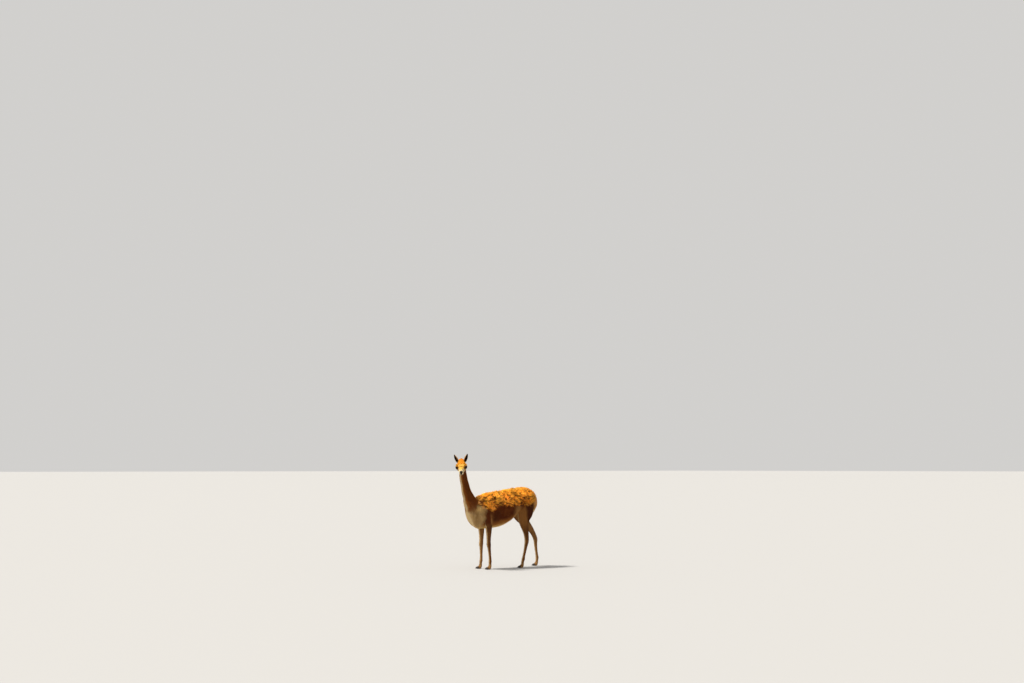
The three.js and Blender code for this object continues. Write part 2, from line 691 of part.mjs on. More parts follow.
// Legs.
for (const leg of LEGS) {
  const held = below.intersect(hold(leg));
  const toes = [-1, 1].map((which) => toePiece(leg, TOE_ROWS, which));
  const nails = [-1, 1].map((which) => toePiece(leg, NAIL_ROWS, which, { rings: 4 }));
  const nailsGrown = [-1, 1].map((which) => toePiece(leg, NAIL_ROWS, which, { rings: 4, grow: GAP }));
  const upper = held.trimByPlane([0, 0, 1], leg.joint + GAP / 2);
  const under = held.trimByPlane([0, 0, -1], -leg.joint + GAP / 2);
  const lower = under.trimByPlane([0, 0, 1], FETLOCK_CUT + GAP / 2);
  const foot = join([held, ...toes])
    .trimByPlane([0, 0, -1], -FETLOCK_CUT + GAP / 2)
    .subtract(join([...nailsGrown, FLOOR]));
  addNode(leg.name + "_upper", upper, colour.tan);
  addNode(leg.name + "_lower", lower, colour.tan);
  addNode(leg.name + "_foot", foot, colour.tan);
  nails.forEach((nail, k) => addNode(`${leg.name}_nail_${"ab"[k]}`, nail.subtract(FLOOR), colour.nail, 0.5));
}

// Head, ears and eyes.
const SIDES = [1, -1];
const touchSkull = skinOf(skull());
const lids = SIDES.map(lid);
const tuft = join(crown(touchSkull)).subtract(join(SIDES.map((side) => earLeaf(side, { grow: GAP }))));
const head = join([skull(), ...lids.map(({ skin }) => skin), tuft]).subtract(
  join([
    ...SIDES.map((side) => eyeBall(side, GAP)),
    ...lids.map(({ opening }) => opening),
    ...SIDES.map(nostril),
    mouthLine(touchSkull),
  ]),
);
addNode("head", head, colour.fleece);
SIDES.forEach((side) => {
  const word = side > 0 ? "left" : "right";
  addNode("ear_" + word, ear(side).subtract(headGrown), colour.tan);
  addNode("eye_" + word, eyeBall(side), colour.eye, 0.1);
});

// Tail.
const behind = join([trunk(GAP), ...LEGS.slice(2).map((leg) => legTube(leg, GAP))]);
addNode("tail", tailWhole.subtract(behind), colour.fleece);

// The origin moves under the middle of the outline.
const box = new THREE.Box3().setFromObject(animal);
const centre = box.getCenter(new THREE.Vector3());
animal.position.set(-centre.x, -centre.y, 0);

export default animal;
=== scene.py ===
"""A vicuna, life size, standing with its head turned: skin, coat, eyes and nails, on a studio floor.

Metres, or millimetres in the tables. +Z is up, the animal faces -Y and its left side is +X.
"""

import math

import bmesh
import bpy
import numpy as np
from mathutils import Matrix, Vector
from mathutils.bvhtree import BVHTree
from mathutils.kdtree import KDTree


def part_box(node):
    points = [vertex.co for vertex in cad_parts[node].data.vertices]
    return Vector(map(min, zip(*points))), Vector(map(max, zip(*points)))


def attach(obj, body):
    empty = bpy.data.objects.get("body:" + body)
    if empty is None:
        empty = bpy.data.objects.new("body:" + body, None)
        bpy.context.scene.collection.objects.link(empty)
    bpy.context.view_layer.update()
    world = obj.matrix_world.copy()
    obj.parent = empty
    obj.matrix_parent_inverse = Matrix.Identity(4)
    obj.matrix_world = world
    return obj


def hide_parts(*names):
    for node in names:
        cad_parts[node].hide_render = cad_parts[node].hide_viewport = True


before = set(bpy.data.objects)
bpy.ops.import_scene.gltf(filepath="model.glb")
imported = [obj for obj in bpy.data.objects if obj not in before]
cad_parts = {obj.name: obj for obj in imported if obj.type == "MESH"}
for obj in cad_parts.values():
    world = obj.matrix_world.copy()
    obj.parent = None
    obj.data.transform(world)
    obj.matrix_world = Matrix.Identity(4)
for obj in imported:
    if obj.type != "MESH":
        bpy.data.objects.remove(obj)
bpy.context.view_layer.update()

BODY = "root"
SEED = 41
SIDES = (-1, 1)


def metres(*rows):
    """A table given in millimetres."""
    return np.array(rows) / 1000


# The form of the animal, out to the tips of its coat.
# Trunk: place along the body, top, bottom, half width.
TRUNK_ROWS = metres(
    (-460, 704, 640, 26),
    (-444, 748, 592, 64),
    (-402, 802, 530, 97),
    (-335, 850, 480, 124),
    (-240, 884, 474, 141),
    (-130, 900, 478, 157),
    (-20, 911, 496, 168),
    (90, 925, 545, 172),
    (190, 941, 616, 170),
    (275, 952, 652, 166),
    (350, 953, 650, 158),
    (418, 932, 656, 142),
    (470, 892, 668, 114),
    (498, 836, 704, 68),
)
TRUNK_TAPER = 0.1
TRUNK_FULL = 0.92
# Neck, legs and tail: middle x, y, z, then half width and half depth.
NECK_ROWS = metres(
    (0, -272, 640, 66, 108),
    (0, -354, 702, 74, 106),
    (0, -430, 772, 68, 88),
    (0, -469, 845, 57, 67),
    (1, -500, 910, 50, 57),
    (5, -520, 976, 45.5, 51),
    (10, -544, 1045, 43, 47),
    (18, -561, 1112, 43, 46),
    (26, -574, 1172, 43, 44),
    (31, -579, 1218, 40, 39),
    (34, -585, 1248, 31, 30),
    (36, -590, 1268, 14, 14),
)
# Flesh between the neck's front and the chest.
BRISKET_ROWS = metres(
    (0, -462, 820, 34, 30),
    (0, -450, 764, 56, 40),
    (0, -434, 706, 70, 46),
    (0, -418, 650, 78, 48),
    (0, -388, 588, 78, 50),
    (0, -352, 540, 60, 44),
)
FORELEG_ROWS = metres(
    (82, -256, 700, 40, 66),
    (92, -247, 645, 45, 72),
    (96, -233, 583, 43, 63),
    (95, -221, 525, 38, 50),
    (93, -216, 468, 31, 40),
    (92, -215, 400, 26, 31),
    (91, -217, 330, 22.5, 25.5),
    (91, -220, 288, 24, 27),
    (91, -218, 255, 20, 22),
    (91, -216, 190, 16, 18),
    (91, -215, 130, 15, 17),
    (91, -217, 98, 18, 19.5),
    (91, -221, 74, 16.5, 17.5),
    (91, -226, 50, 15, 15.5),
)
HINDLEG_ROWS = metres(
    (84, 312, 758, 46, 96),
    (101, 306, 700, 56, 112),
    (108, 290, 640, 55, 106),
    (106, 279, 580, 47, 86),
    (101, 284, 520, 37, 64),
    (97, 302, 458, 29, 46),
    (95, 318, 398, 24, 35),
    (94, 326, 342, 22, 30),
    (93, 326, 304, 22.5, 28),
    (93, 317, 264, 19, 22.5),
    (93, 301, 200, 16.5, 18.5),
    (93, 284, 135, 15.5, 17.5),
    (93, 275, 100, 18.5, 20),
    (93, 267, 74, 17, 18),
    (93, 260, 50, 15.5, 15.5),
)
HINDLEG_BACK_ROWS = metres(
    (84, 340, 752, 46, 92),
    (101, 352, 700, 56, 102),
    (108, 366, 642, 54, 94),
    (106, 404, 582, 45, 74),
    (101, 462, 522, 36, 55),
    (97, 524, 458, 28.5, 41),
    (95, 568, 402, 24, 33),
    (94, 598, 350, 22, 30),
    (93, 611, 314, 22.5, 28),
    (93, 613, 272, 19, 22.5),
    (93, 620, 203, 16.5, 18.5),
    (93, 631, 135, 15.5, 17.5),
    (93, 637, 100, 18.5, 20),
    (93, 634, 74, 17, 18),
    (93, 627, 50, 15.5, 15.5),
)
TAIL_ROWS = metres(
    (0, 440, 858, 22, 22),
    (0, 476, 844, 28, 24),
    (0, 498, 808, 34, 25),
    (0, 505, 762, 38, 24),
    (0, 501, 714, 35, 21),
    (0, 494, 674, 23, 14),
    (0, 489, 646, 8, 5),
)
# Toes and nails: outwards from the leg's middle, forward of it, height, half width, half height.
TOE_ROWS = metres(
    (3, -9, 60, 11.5, 12.5),
    (6, -2, 39, 13, 15),
    (10, 11, 18.5, 14.5, 18),
    (12, 29, 11, 13, 14.5),
    (13.5, 43, 6, 9, 10),
)
NAIL_ROWS = metres(
    (12, 26, 22, 5, 5),
    (13.5, 37, 18, 9, 8),
    (14.5, 49, 11, 8.5, 8),
    (15, 59, 5, 4, 4.5),
)
LEAN_HEIGHT = 0.3  # a leg leans up to this height over its foot
# Each leg: its rings, its side, how far back its foot stands, and how much more its top does.
LEGS = {
    "foreleg_left": (FORELEG_ROWS, 1, 0.004, -0.028),
    "foreleg_right": (FORELEG_ROWS, -1, 0.002, 0.004),
    "hindleg_left": (HINDLEG_ROWS, 1, 0.0, 0.0),
    "hindleg_right": (HINDLEG_BACK_ROWS, -1, 0.0, 0.0),
}
# Lower edge of the fleece: place along the body, height.
FLEECE_EDGE = metres(
    (-400, 780),
    (-330, 718),
    (-260, 712),
    (-160, 742),
    (0, 768),
    (200, 774),
    (300, 768),
    (360, 796),
    (420, 842),
    (470, 866),
    (520, 876),
)
EDGE_WANDER = 0.012  # how far that edge wanders up and down

# Head: its place and turn, then rings from nape to nose:
# forward, top, bottom, half width, and in thousandths how much wider above than below.
HEAD_PLACE = np.array([0.039, -0.597, 1.219])
HEAD_YAW = math.radians(52)
HEAD_PITCH = math.radians(28)
HEAD_ROLL = math.radians(4)
HEAD_ROWS = metres(
    (-52, 38, -8, 22, 0),
    (-40, 62, -32, 37, -50),
    (-20, 74, -50, 48, -160),
    (5, 75, -60, 55, -260),
    (30, 65, -64, 62, -120),
    (45, 52, -64, 66, 80),
    (60, 38, -63, 61, 140),
    (80, 26, -61, 48, 100),
    (102, 18, -59, 37, 0),
    (126, 12, -58, 29, -80),
    (148, 6, -56, 25.5, -100),
    (160, 1, -53, 22, -80),
    (169, -9, -43, 13, 0),
)
EYE_AT = (0.062, 0.044, -0.002)
EYE_RADIUS = 0.019
EYE_LOOK = (0.71, 0.70, 0.04)
EYE_SLANT = math.radians(14)  # of its opening, down towards the nose
EAR_AT = (-0.006, 0.038, 0.032)
EAR_LENGTH = 0.1
EAR_WIDTH = 0.022
EAR_DEPTH = 0.013
EAR_CURL = 0.009
EAR_LEAN = math.radians(26)
EAR_BACK = math.radians(19)

# How far the skin lies under the tips of the coat.
DEPTHS = {
    "fleece": 0.019,
    "flank": 0.006,
    "bib": 0.013,
    "neck": 0.007,
    "leg": 0.0025,
    "tail": 0.011,
    "face": 0.003,
}


def unit(v):
    """Vectors made one long."""
    return v / np.maximum(np.linalg.norm(v, axis=-1, keepdims=True), 1e-9)


def along_surface(v, normals):
    """Directions without what they have of the normals."""
    return v - normals * np.sum(v * normals, axis=1, keepdims=True)


def ramp(low, high, x):
    """0 up to low, 1 from high on, and smooth between."""
    t = np.clip((x - low) / (high - low), 0, 1)
    return t * t * (3 - 2 * t)


def mix(a, b, share):
    """From a to b by share."""
    return a + (b - a) * share


def row_at(rows, t):
    """Rows read at t from 0 to 1, on a smooth curve through all of them."""
    rows = np.asarray(rows, float)
    last = len(rows) - 1
    x = np.clip(t, 0, 1) * last
    i = np.minimum(x.astype(int), last - 1)
    f = (x - i)[..., None]
    a, b, c, d = (rows[np.clip(i + k, 0, last)] for k in (-1, 0, 1, 2))
    bend = (2 * a - 5 * b + 4 * c - d) * f**2
    return 0.5 * (2 * b + (c - a) * f + bend + (3 * b - a - 3 * c + d) * f**3)


def fleece_edge(y):
    """Height of the fleece's lower edge at a place along the body."""
    return np.interp(y, *np.transpose(FLEECE_EDGE))


def trunk_depth(y, z):
    """How far the trunk's skin lies under the tips of the coat."""
    edge = fleece_edge(y)
    depth = mix(DEPTHS["flank"], DEPTHS["fleece"], ramp(edge - 0.03, edge + 0.02, z))
    return mix(depth, np.maximum(depth, DEPTHS["bib"]), ramp(-0.3, -0.38, y))


def noise(p, size, salt=0):
    """Smooth noise from 0 to 1 over points, in cells of the given size."""
    q = p / size + 11.7 * salt
    cell = np.floor(q).astype(np.int64)
    f = q - cell
    f = f * f * (3 - 2 * f)
    total = np.zeros(len(q))
    for corner in np.ndindex(2, 2, 2):
        x, y, z = (cell + corner).T
        n = (x * 73856093 ^ y * 19349663 ^ z * 83492791) & 0xFFFFFF
        n = ((n >> 7) ^ n) * 15731 & 0xFFFFFF
        n = ((n >> 9) ^ n) * 48271 & 0xFFFFFF
        total += np.prod(np.where(corner, f, 1 - f), axis=1) * n / 0xFFFFFF
    return total


def wander(p, size, salt=0):
    """Noise from -1 to 1."""
    return 2 * noise(p, size, salt) - 1


# The head's own axes.
FLAT = np.array([math.sin(HEAD_YAW), -math.cos(HEAD_YAW), 0])
FORWARD = FLAT * math.cos(HEAD_PITCH) - np.array([0, 0, math.sin(HEAD_PITCH)])
LEVEL = np.cross([0, 0, 1], FLAT)
OUT = LEVEL * math.cos(HEAD_ROLL) + np.cross(FORWARD, LEVEL) * math.sin(HEAD_ROLL)
UP = np.cross(FORWARD, OUT)
HEAD_AXES = np.array([FORWARD, OUT, UP])
EYE_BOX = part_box("eye_left")
EYE_BOX_MIDDLE = np.array((EYE_BOX[0] + EYE_BOX[1]) / 2)
# From the rows' own origin to the frame's, under the middle of the outline.
SHIFT = (EYE_BOX_MIDDLE - HEAD_PLACE - np.array(EYE_AT) @ HEAD_AXES) * (1, 1, 0)


def on_head(local):
    """Places given forward, outwards and up from the head's middle."""
    return HEAD_PLACE + np.asarray(local) @ HEAD_AXES


def sided(place, side):
    """A place or direction of the head's left side, on either side."""
    return np.array(place) * (1, side, 1)


def head_way(*measures):
    """A direction given forward, outwards and up."""
    return unit(np.asarray(measures, float) @ HEAD_AXES)


def to_head(p):
    """Forward, outwards and up of places in the rows' frame."""
    return (p - HEAD_PLACE) @ HEAD_AXES.T


def circle(sides):
    """Cosines and sines all round."""
    angle = np.linspace(0, 2 * np.pi, sides, endpoint=False)
    return np.cos(angle), np.sin(angle)


def tube(rows, rings, sides, grow=0.0, across=(1, 0, 0), start=0.0, end=1.0):
    """Rings of points along rows of x, y, z, half width and half depth."""
    t = np.linspace(start, end, rings)
    row = row_at(rows, t)
    across = np.asarray(across, float)
    ahead = unit(row_at(rows, t + 0.01)[:, :3] - row_at(rows, t - 0.01)[:, :3])
    u = unit(across - ahead * (ahead @ across)[:, None])
    v = np.cross(ahead, u)
    cosines, sines = circle(sides)
    wide = ((row[:, 3] + grow)[:, None] * cosines)[..., None]
    deep = ((row[:, 4] + grow)[:, None] * sines)[..., None]
    return row[:, None, :3] + u[:, None] * wide + v[:, None] * deep


def row_columns(rows, rings):
    """Rows read at so many places: the first column, middle and half height, and the rest."""
    place, top, bottom, *rest = row_at(rows, np.linspace(0, 1, rings)).T[..., None]
    return place, (top + bottom) / 2, (top - bottom) / 2, *rest


def trunk_rings(rings, sides):
    """The trunk under its coat, deepest below the fleece."""
    y, middle, half, wide = row_columns(TRUNK_ROWS, rings)
    out, up = circle(sides)
    depth = trunk_depth(y, middle + half * up)
    x = (wide - depth) * np.sign(out) * np.abs(out) ** TRUNK_FULL * (1 - TRUNK_TAPER * up)
    return np.stack([x, np.broadcast_to(y, x.shape), middle + (half - depth) * up], -1)


def skull_rings(rings, sides):
    """The head under its coat."""
    forward, middle, half, wide, wider = row_columns(HEAD_ROWS, rings)
    out, up = circle(sides)
    depth = DEPTHS["face"] + 0.006 * ramp(0.05, 0.02, forward) * ramp(-0.2, 0.6, up)
    across = (wide - depth) * out * (1 + wider * up)
    places = [np.broadcast_to(forward, across.shape), across, middle + (half - depth) * up]
    return on_head(np.stack(places, -1))


def leg_rows(name):
    """A leg's rows on its own side, with its lean."""
    rows, side, foot, lean = LEGS[name]
    rows = np.array(rows)
    rows[:, 0] *= side
    rows[:, 1] += foot + lean * np.minimum(1, (rows[:, 2] - rows[-1, 2]) / LEAN_HEIGHT)
    return rows


def toe_rows(name, rows, which):
    """Rows of a toe or nail at the foot of a leg."""
    x, y = leg_rows(name)[-1, :2]
    return [(x + which * out, y - forward, z, wide, high) for out, forward, z, wide, high in rows]


def ear_axes(side):
    """An ear's root, the way it stands and the way it opens."""
    level = math.cos(EAR_LEAN)
    up = head_way(-level * math.sin(EAR_BACK), side * math.sin(EAR_LEAN), level * math.cos(EAR_BACK))
    face = head_way(1, side * 0.35, 0)
    return on_head(sided(EAR_AT, side)), up, unit(face - up * (face @ up))


def ear_shape(t):
    """An ear's width along it, as a share of EAR_WIDTH."""
    return 0.62 + 1.5 * t - 2.07 * t * t


def ear_rings(side, rings, sides, start=0.0, end=0.985, scale=1.0, ahead=0.0):
    """An ear's leaf, or a narrower one that hollows it."""
    root, up, face = ear_axes(side)
    rows = []
    for t in np.linspace(start, end, 9):
        shape = ear_shape(t) * scale
        p = root + up * EAR_LENGTH * t + face * (ahead - EAR_CURL * t * t)
        rows.append((*p, EAR_WIDTH * shape, EAR_DEPTH * shape))
    return tube(rows, rings, sides, across=np.cross(up, face))


def closed(rings):
    """Points and faces of closed rings, each end closed on its middle."""
    count, sides = rings.shape[:2]
    points = np.vstack([rings.reshape(-1, 3), rings[0].mean(0), rings[-1].mean(0)])
    s = np.arange(sides)
    n = (s + 1) % sides
    base = np.arange(count - 1)[:, None] * sides
    quads = np.stack([base + s, base + n, base + sides + n, base + sides + s], -1).reshape(-1, 4)
    last = (count - 1) * sides
    first_cap = np.stack([n, s, np.full(sides, len(points) - 2)], -1)
    last_cap = np.stack([last + s, last + n, np.full(sides, len(points) - 1)], -1)
    return points, quads.tolist() + first_cap.tolist() + last_cap.tolist()


def ball(middle, axes, radii, rings=24, sides=32):
    """A ball with its own radius along each of three axes."""
    a = np.linspace(0, np.pi, rings + 2)[1:-1, None]
    b = np.linspace(0, 2 * np.pi, sides, endpoint=False)
    local = np.stack([np.sin(a) * np.cos(b), np.sin(a) * np.sin(b), np.cos(a) * np.ones_like(b)], -1)
    return np.asarray(middle) + (local * radii) @ np.asarray(axes)


def placed(name, data):
    """A new object in the scene that holds data."""
    obj = bpy.data.objects.new(name, data)
    bpy.context.scene.collection.objects.link(obj)
    return obj


def made(name, shapes):
    """One object from shapes that are each points and faces, moved into the frame."""
    points, faces = [], []
    for shape_points, shape_faces in shapes:
        base = len(points)
        points += (shape_points + SHIFT).tolist()
        faces += [[base + k for k in face] for face in shape_faces]
    mesh = bpy.data.meshes.new(name)
    mesh.from_pydata(points, [], faces)
    whole = bmesh.new()
    whole.from_mesh(mesh)
    bmesh.ops.recalc_face_normals(whole, faces=whole.faces)
    whole.to_mesh(mesh)
    whole.free()
    return placed(name, mesh)


def made_of(name, *tubes):
    """One object of tubes, each closed at its ends."""
    return made(name, [closed(rings) for rings in tubes])


def applied(obj):
    """The object with its modifiers made real."""
    bpy.context.view_layer.update()
    mesh = bpy.data.meshes.new_from_object(obj.evaluated_get(bpy.context.evaluated_depsgraph_get()))
    obj.modifiers.clear()
    obj.data = mesh
    return obj


def remeshed(obj, voxel):
    """One closed surface round all that the object holds."""
    step = obj.modifiers.new("one surface", "REMESH")
    step.mode = "VOXEL"
    step.voxel_size = voxel
    return applied(obj)


def combine(obj, operation, others):
    """Joins or cuts, and removes what it was done with."""
    for other in others:
        step = obj.modifiers.new("with " + other.name, "BOOLEAN")
        step.operation = operation
        step.solver = "MANIFOLD"
        step.object = other
    applied(obj)
    for other in others:
        bpy.data.objects.remove(other)
    return obj


def read_all(items, key, width, kind):
    """One property of all of a mesh's items, so many numbers each."""
    values = np.empty(len(items) * width, kind)
    items.foreach_get(key, values)
    return values.reshape(-1, width)


def points_of(mesh):
    return read_all(mesh.vertices, "co", 3, np.float32).astype(float)


def normals_of(mesh):
    return read_all(mesh.vertex_normals, "vector", 3, np.float32).astype(float)


def edges_of(mesh):
    return read_all(mesh.edges, "vertices", 2, np.int32)


def move_points(mesh, co):
    mesh.vertices.foreach_set("co", co.astype(np.float32).ravel())
    mesh.update()


def averaged(values, edges, times, share=0.5):
    """Values on points drawn towards their neighbours' mean, so many times."""
    a, b = edges.T
    count = len(values)
    around = np.maximum(np.bincount(a, minlength=count) + np.bincount(b, minlength=count), 1)
    for _ in range(times):
        total = np.empty_like(values)
        for k in range(values.shape[1]):
            v = values[:, k]
            total[:, k] = np.bincount(a, v[b], count) + np.bincount(b, v[a], count)
        values = mix(values, total / around[:, None], share)
    return values


def eased(mesh, times):
    """Smooths a mesh without shrinking it much."""
    edges = edges_of(mesh)
    co = points_of(mesh)
    for _ in range(times):
        co = averaged(co, edges, 1, 0.55)
        co = averaged(co, edges, 1, -0.53)
    move_points(mesh, co)


# The places on the head that are pushed out or in, on both sides:
# forward, outwards, up, by how much, and over what reach.
HEAD_SCULPT = metres(
    (96, 35, -6, -3, 12),
    (52, 54, 24, 3.5, 14),
    (78, 46, -30, 2.5, 14),
    (10, 46, -46, 4, 22),
    (100, 34, -34, -2.5, 18),
    (150, 16, -30, 3, 11),
    (164, 13, -8, 2.2, 7),
    (136, 8, -56, 2.5, 10),
    (120, 20, 6, -1.5, 16),
)
# What is cut from the head: its places, its slants, and its radii along its own axes.
LIDS_OPEN = (0.016, 0.018, 0.0122)
NOSTRIL_AT = (0.166, 0.0095, -0.008)
NOSTRIL_RADII = (0.007, 0.0021, 0.0052)
NOSTRIL_SLANT = math.radians(35)
CLEFT_AT = (0.169, 0, -0.024)
CLEFT_RADII = (0.006, 0.0008, 0.011)
MOUTH_RADII = (0.0019, 0.0013)
MOUTH_TURN = math.radians(84)  # how far round the muzzle its corners are
MOUTH_FORWARD, MOUTH_UP, MOUTH_RISE = 0.126, -0.036, 0.004  # its middle, and its corners' rise

HEAD_VOXEL = 0.0017
BODY_VOXEL = 0.003
COARSE_ABOVE = 0.13  # the skin is made with fewer faces above this height
COARSE_SHARE = 0.22
NECK_MEETS = 0.6  # along the neck, where the finely made head and upper neck start
SOLE = 0.0003  # the toes' flat undersides
TOE_DEPTH = 0.001  # how far the toes' skin lies under their coat
LID_THICK = 0.003
EYE_GAP = 0.0003  # how much wider a socket is than an eyeball


def eye_place(side):
    """The middle of an eye."""
    return on_head(sided(EYE_AT, side))


def eye_axes(side):
    """Where an eye looks, along its opening, and down across it."""
    look = head_way(*sided(EYE_LOOK, side))
    line = head_way(math.cos(EYE_SLANT), 0, -math.sin(EYE_SLANT))
    line = unit(line - look * (line @ look))
    return np.array([look, line, np.cross(look, line) * side])


def body_skin():
    """Trunk, lower neck, tail, legs and toes as one surface."""
    tubes = [trunk_rings(90, 96), tube(BRISKET_ROWS, 60, 48)]
    tubes.append(tube(NECK_ROWS, 90, 64, -DEPTHS["neck"], end=NECK_MEETS + 0.06))
    tubes.append(tube(TAIL_ROWS, 40, 32, -DEPTHS["tail"] * 0.5, end=0.97))
    for name in LEGS:
        tubes.append(tube(leg_rows(name), 110, 48, -DEPTHS["leg"]))
        tubes += [tube(toe_rows(name, TOE_ROWS, which), 30, 28, -TOE_DEPTH) for which in SIDES]
    skin = remeshed(made_of("skin", *tubes), BODY_VOXEL)
    eased(skin.data, 12)
    co = points_of(skin.data)
    co[:, 2] = np.maximum(co[:, 2], SOLE)
    move_points(skin.data, co)
    coarse = skin.vertex_groups.new(name="coarse")
    coarse.add(np.flatnonzero(co[:, 2] > COARSE_ABOVE).tolist(), 1.0, "REPLACE")
    step = skin.modifiers.new("fewer", "DECIMATE")
    step.ratio = COARSE_SHARE
    step.vertex_group = coarse.name
    return applied(skin)


def head_skin():
    """Head, ears and upper neck as one surface, and the line of the mouth."""
    tubes = [skull_rings(120, 96)]
    tubes.append(tube(NECK_ROWS, 60, 64, 0.0006 - DEPTHS["neck"], start=NECK_MEETS))
    r = EYE_RADIUS + LID_THICK
    tubes += [ball(eye_place(side), eye_axes(side), (r, r * 1.05, r)) for side in SIDES]
    head = made_of("head skin", *tubes)
    for side in SIDES:
        ear = made_of("ear", ear_rings(side, 60, 48))
        hollow = made_of("hollow", ear_rings(side, 50, 40, start=0.13, end=0.93, scale=0.80, ahead=0.0062))
        combine(ear, "DIFFERENCE", [hollow])
        head.data = joined(head, ear)
    remeshed(head, HEAD_VOXEL)
    eased(head.data, 8)
    co, normals = points_of(head.data), normals_of(head.data)
    local = to_head(co - SHIFT)
    push = np.zeros(len(co))
    for *place, much, reach in HEAD_SCULPT:
        for side in SIDES:
            away = np.linalg.norm(local - sided(place, side), axis=1)
            push += much * np.exp(-((away / reach) ** 2))
    move_points(head.data, co + normals * push[:, None])
    mouth = mouth_points(head)
    return combine(head, "DIFFERENCE", face_cutters(mouth)), mouth


def joined(*objects):
    """One mesh of all the objects, and the others removed."""
    whole = bmesh.new()
    for obj in objects:
        whole.from_mesh(obj.data)
    mesh = bpy.data.meshes.new(objects[0].name)
    whole.to_mesh(mesh)
    whole.free()
    for obj in objects[1:]:
        bpy.data.objects.remove(obj)
    return mesh


def face_cutters(mouth):
    """What is cut from the head: sockets, openings of the lids, nostrils, mouth and cleft lip."""
    cutters = []
    r = EYE_RADIUS + EYE_GAP
    for side in SIDES:
        place, axes = eye_place(side), eye_axes(side)
        cutters.append(ball(place, axes, (r, r, r), 40, 48))
        cutters.append(ball(place + axes[0] * (EYE_RADIUS + 0.006), axes, LIDS_OPEN, 40, 48))
        slit = head_way(0, side * math.sin(NOSTRIL_SLANT), math.cos(NOSTRIL_SLANT))
        axes = [FORWARD, np.cross(FORWARD, slit), slit]
        cutters.append(ball(on_head(sided(NOSTRIL_AT, side)), axes, NOSTRIL_RADII, 16, 24))
    cutters.append(ball(on_head(CLEFT_AT), HEAD_AXES, CLEFT_RADII, 16, 16))
    cutters.append(tube([(*p, *MOUTH_RADII) for p in mouth], 73, 10, across=-UP))
    return [made_of("cutter", cutter) for cutter in cutters]


def tree_of(mesh):
    return BVHTree.FromPolygons(points_of(mesh).tolist(), [tuple(p.vertices) for p in mesh.polygons])


def mouth_points(head):
    """Places on the muzzle from one corner of the mouth to the other."""
    tree = tree_of(head.data)
    places = []
    for k in np.linspace(-1, 1, 25):
        turn = MOUTH_TURN * k
        inner = on_head((MOUTH_FORWARD, 0, MOUTH_UP + MOUTH_RISE * k * k)) + SHIFT
        ray = head_way(math.cos(turn), math.sin(turn), 0)
        hit = tree.ray_cast(Vector(inner + ray * 0.09), Vector(-ray))[0]
        places.append(np.array(hit) - SHIFT)
    return places


def skin_of_all():
    """One skin over trunk, neck, head, ears, tail, legs and toes, and the line of its mouth."""
    skin = body_skin()
    head, mouth = head_skin()
    combine(skin, "UNION", [head])
    whole = bmesh.new()
    whole.from_mesh(skin.data)
    bmesh.ops.dissolve_degenerate(whole, dist=1e-5, edges=whole.edges)
    bmesh.ops.triangulate(whole, faces=whole.faces)
    whole.to_mesh(skin.data)
    whole.free()
    co = points_of(skin.data)
    meets = row_at(NECK_ROWS, np.array([NECK_MEETS + 0.01]))[0, 2]
    near = ramp(0.03, 0.012, np.abs(co[:, 2] - meets))[:, None]
    move_points(skin.data, mix(co, averaged(co, edges_of(skin.data), 16), near))
    skin.data.shade_smooth()
    skin.name = "skin"
    return skin, np.array(mouth)


skin, mouth = skin_of_all()


# What the skin is at each of its points: which part, how the hair lies, and where on that part's unwrap.
PARTS = ("trunk", "neck", "head", "ear", "tail", "foreleg", "hindleg", "toe")


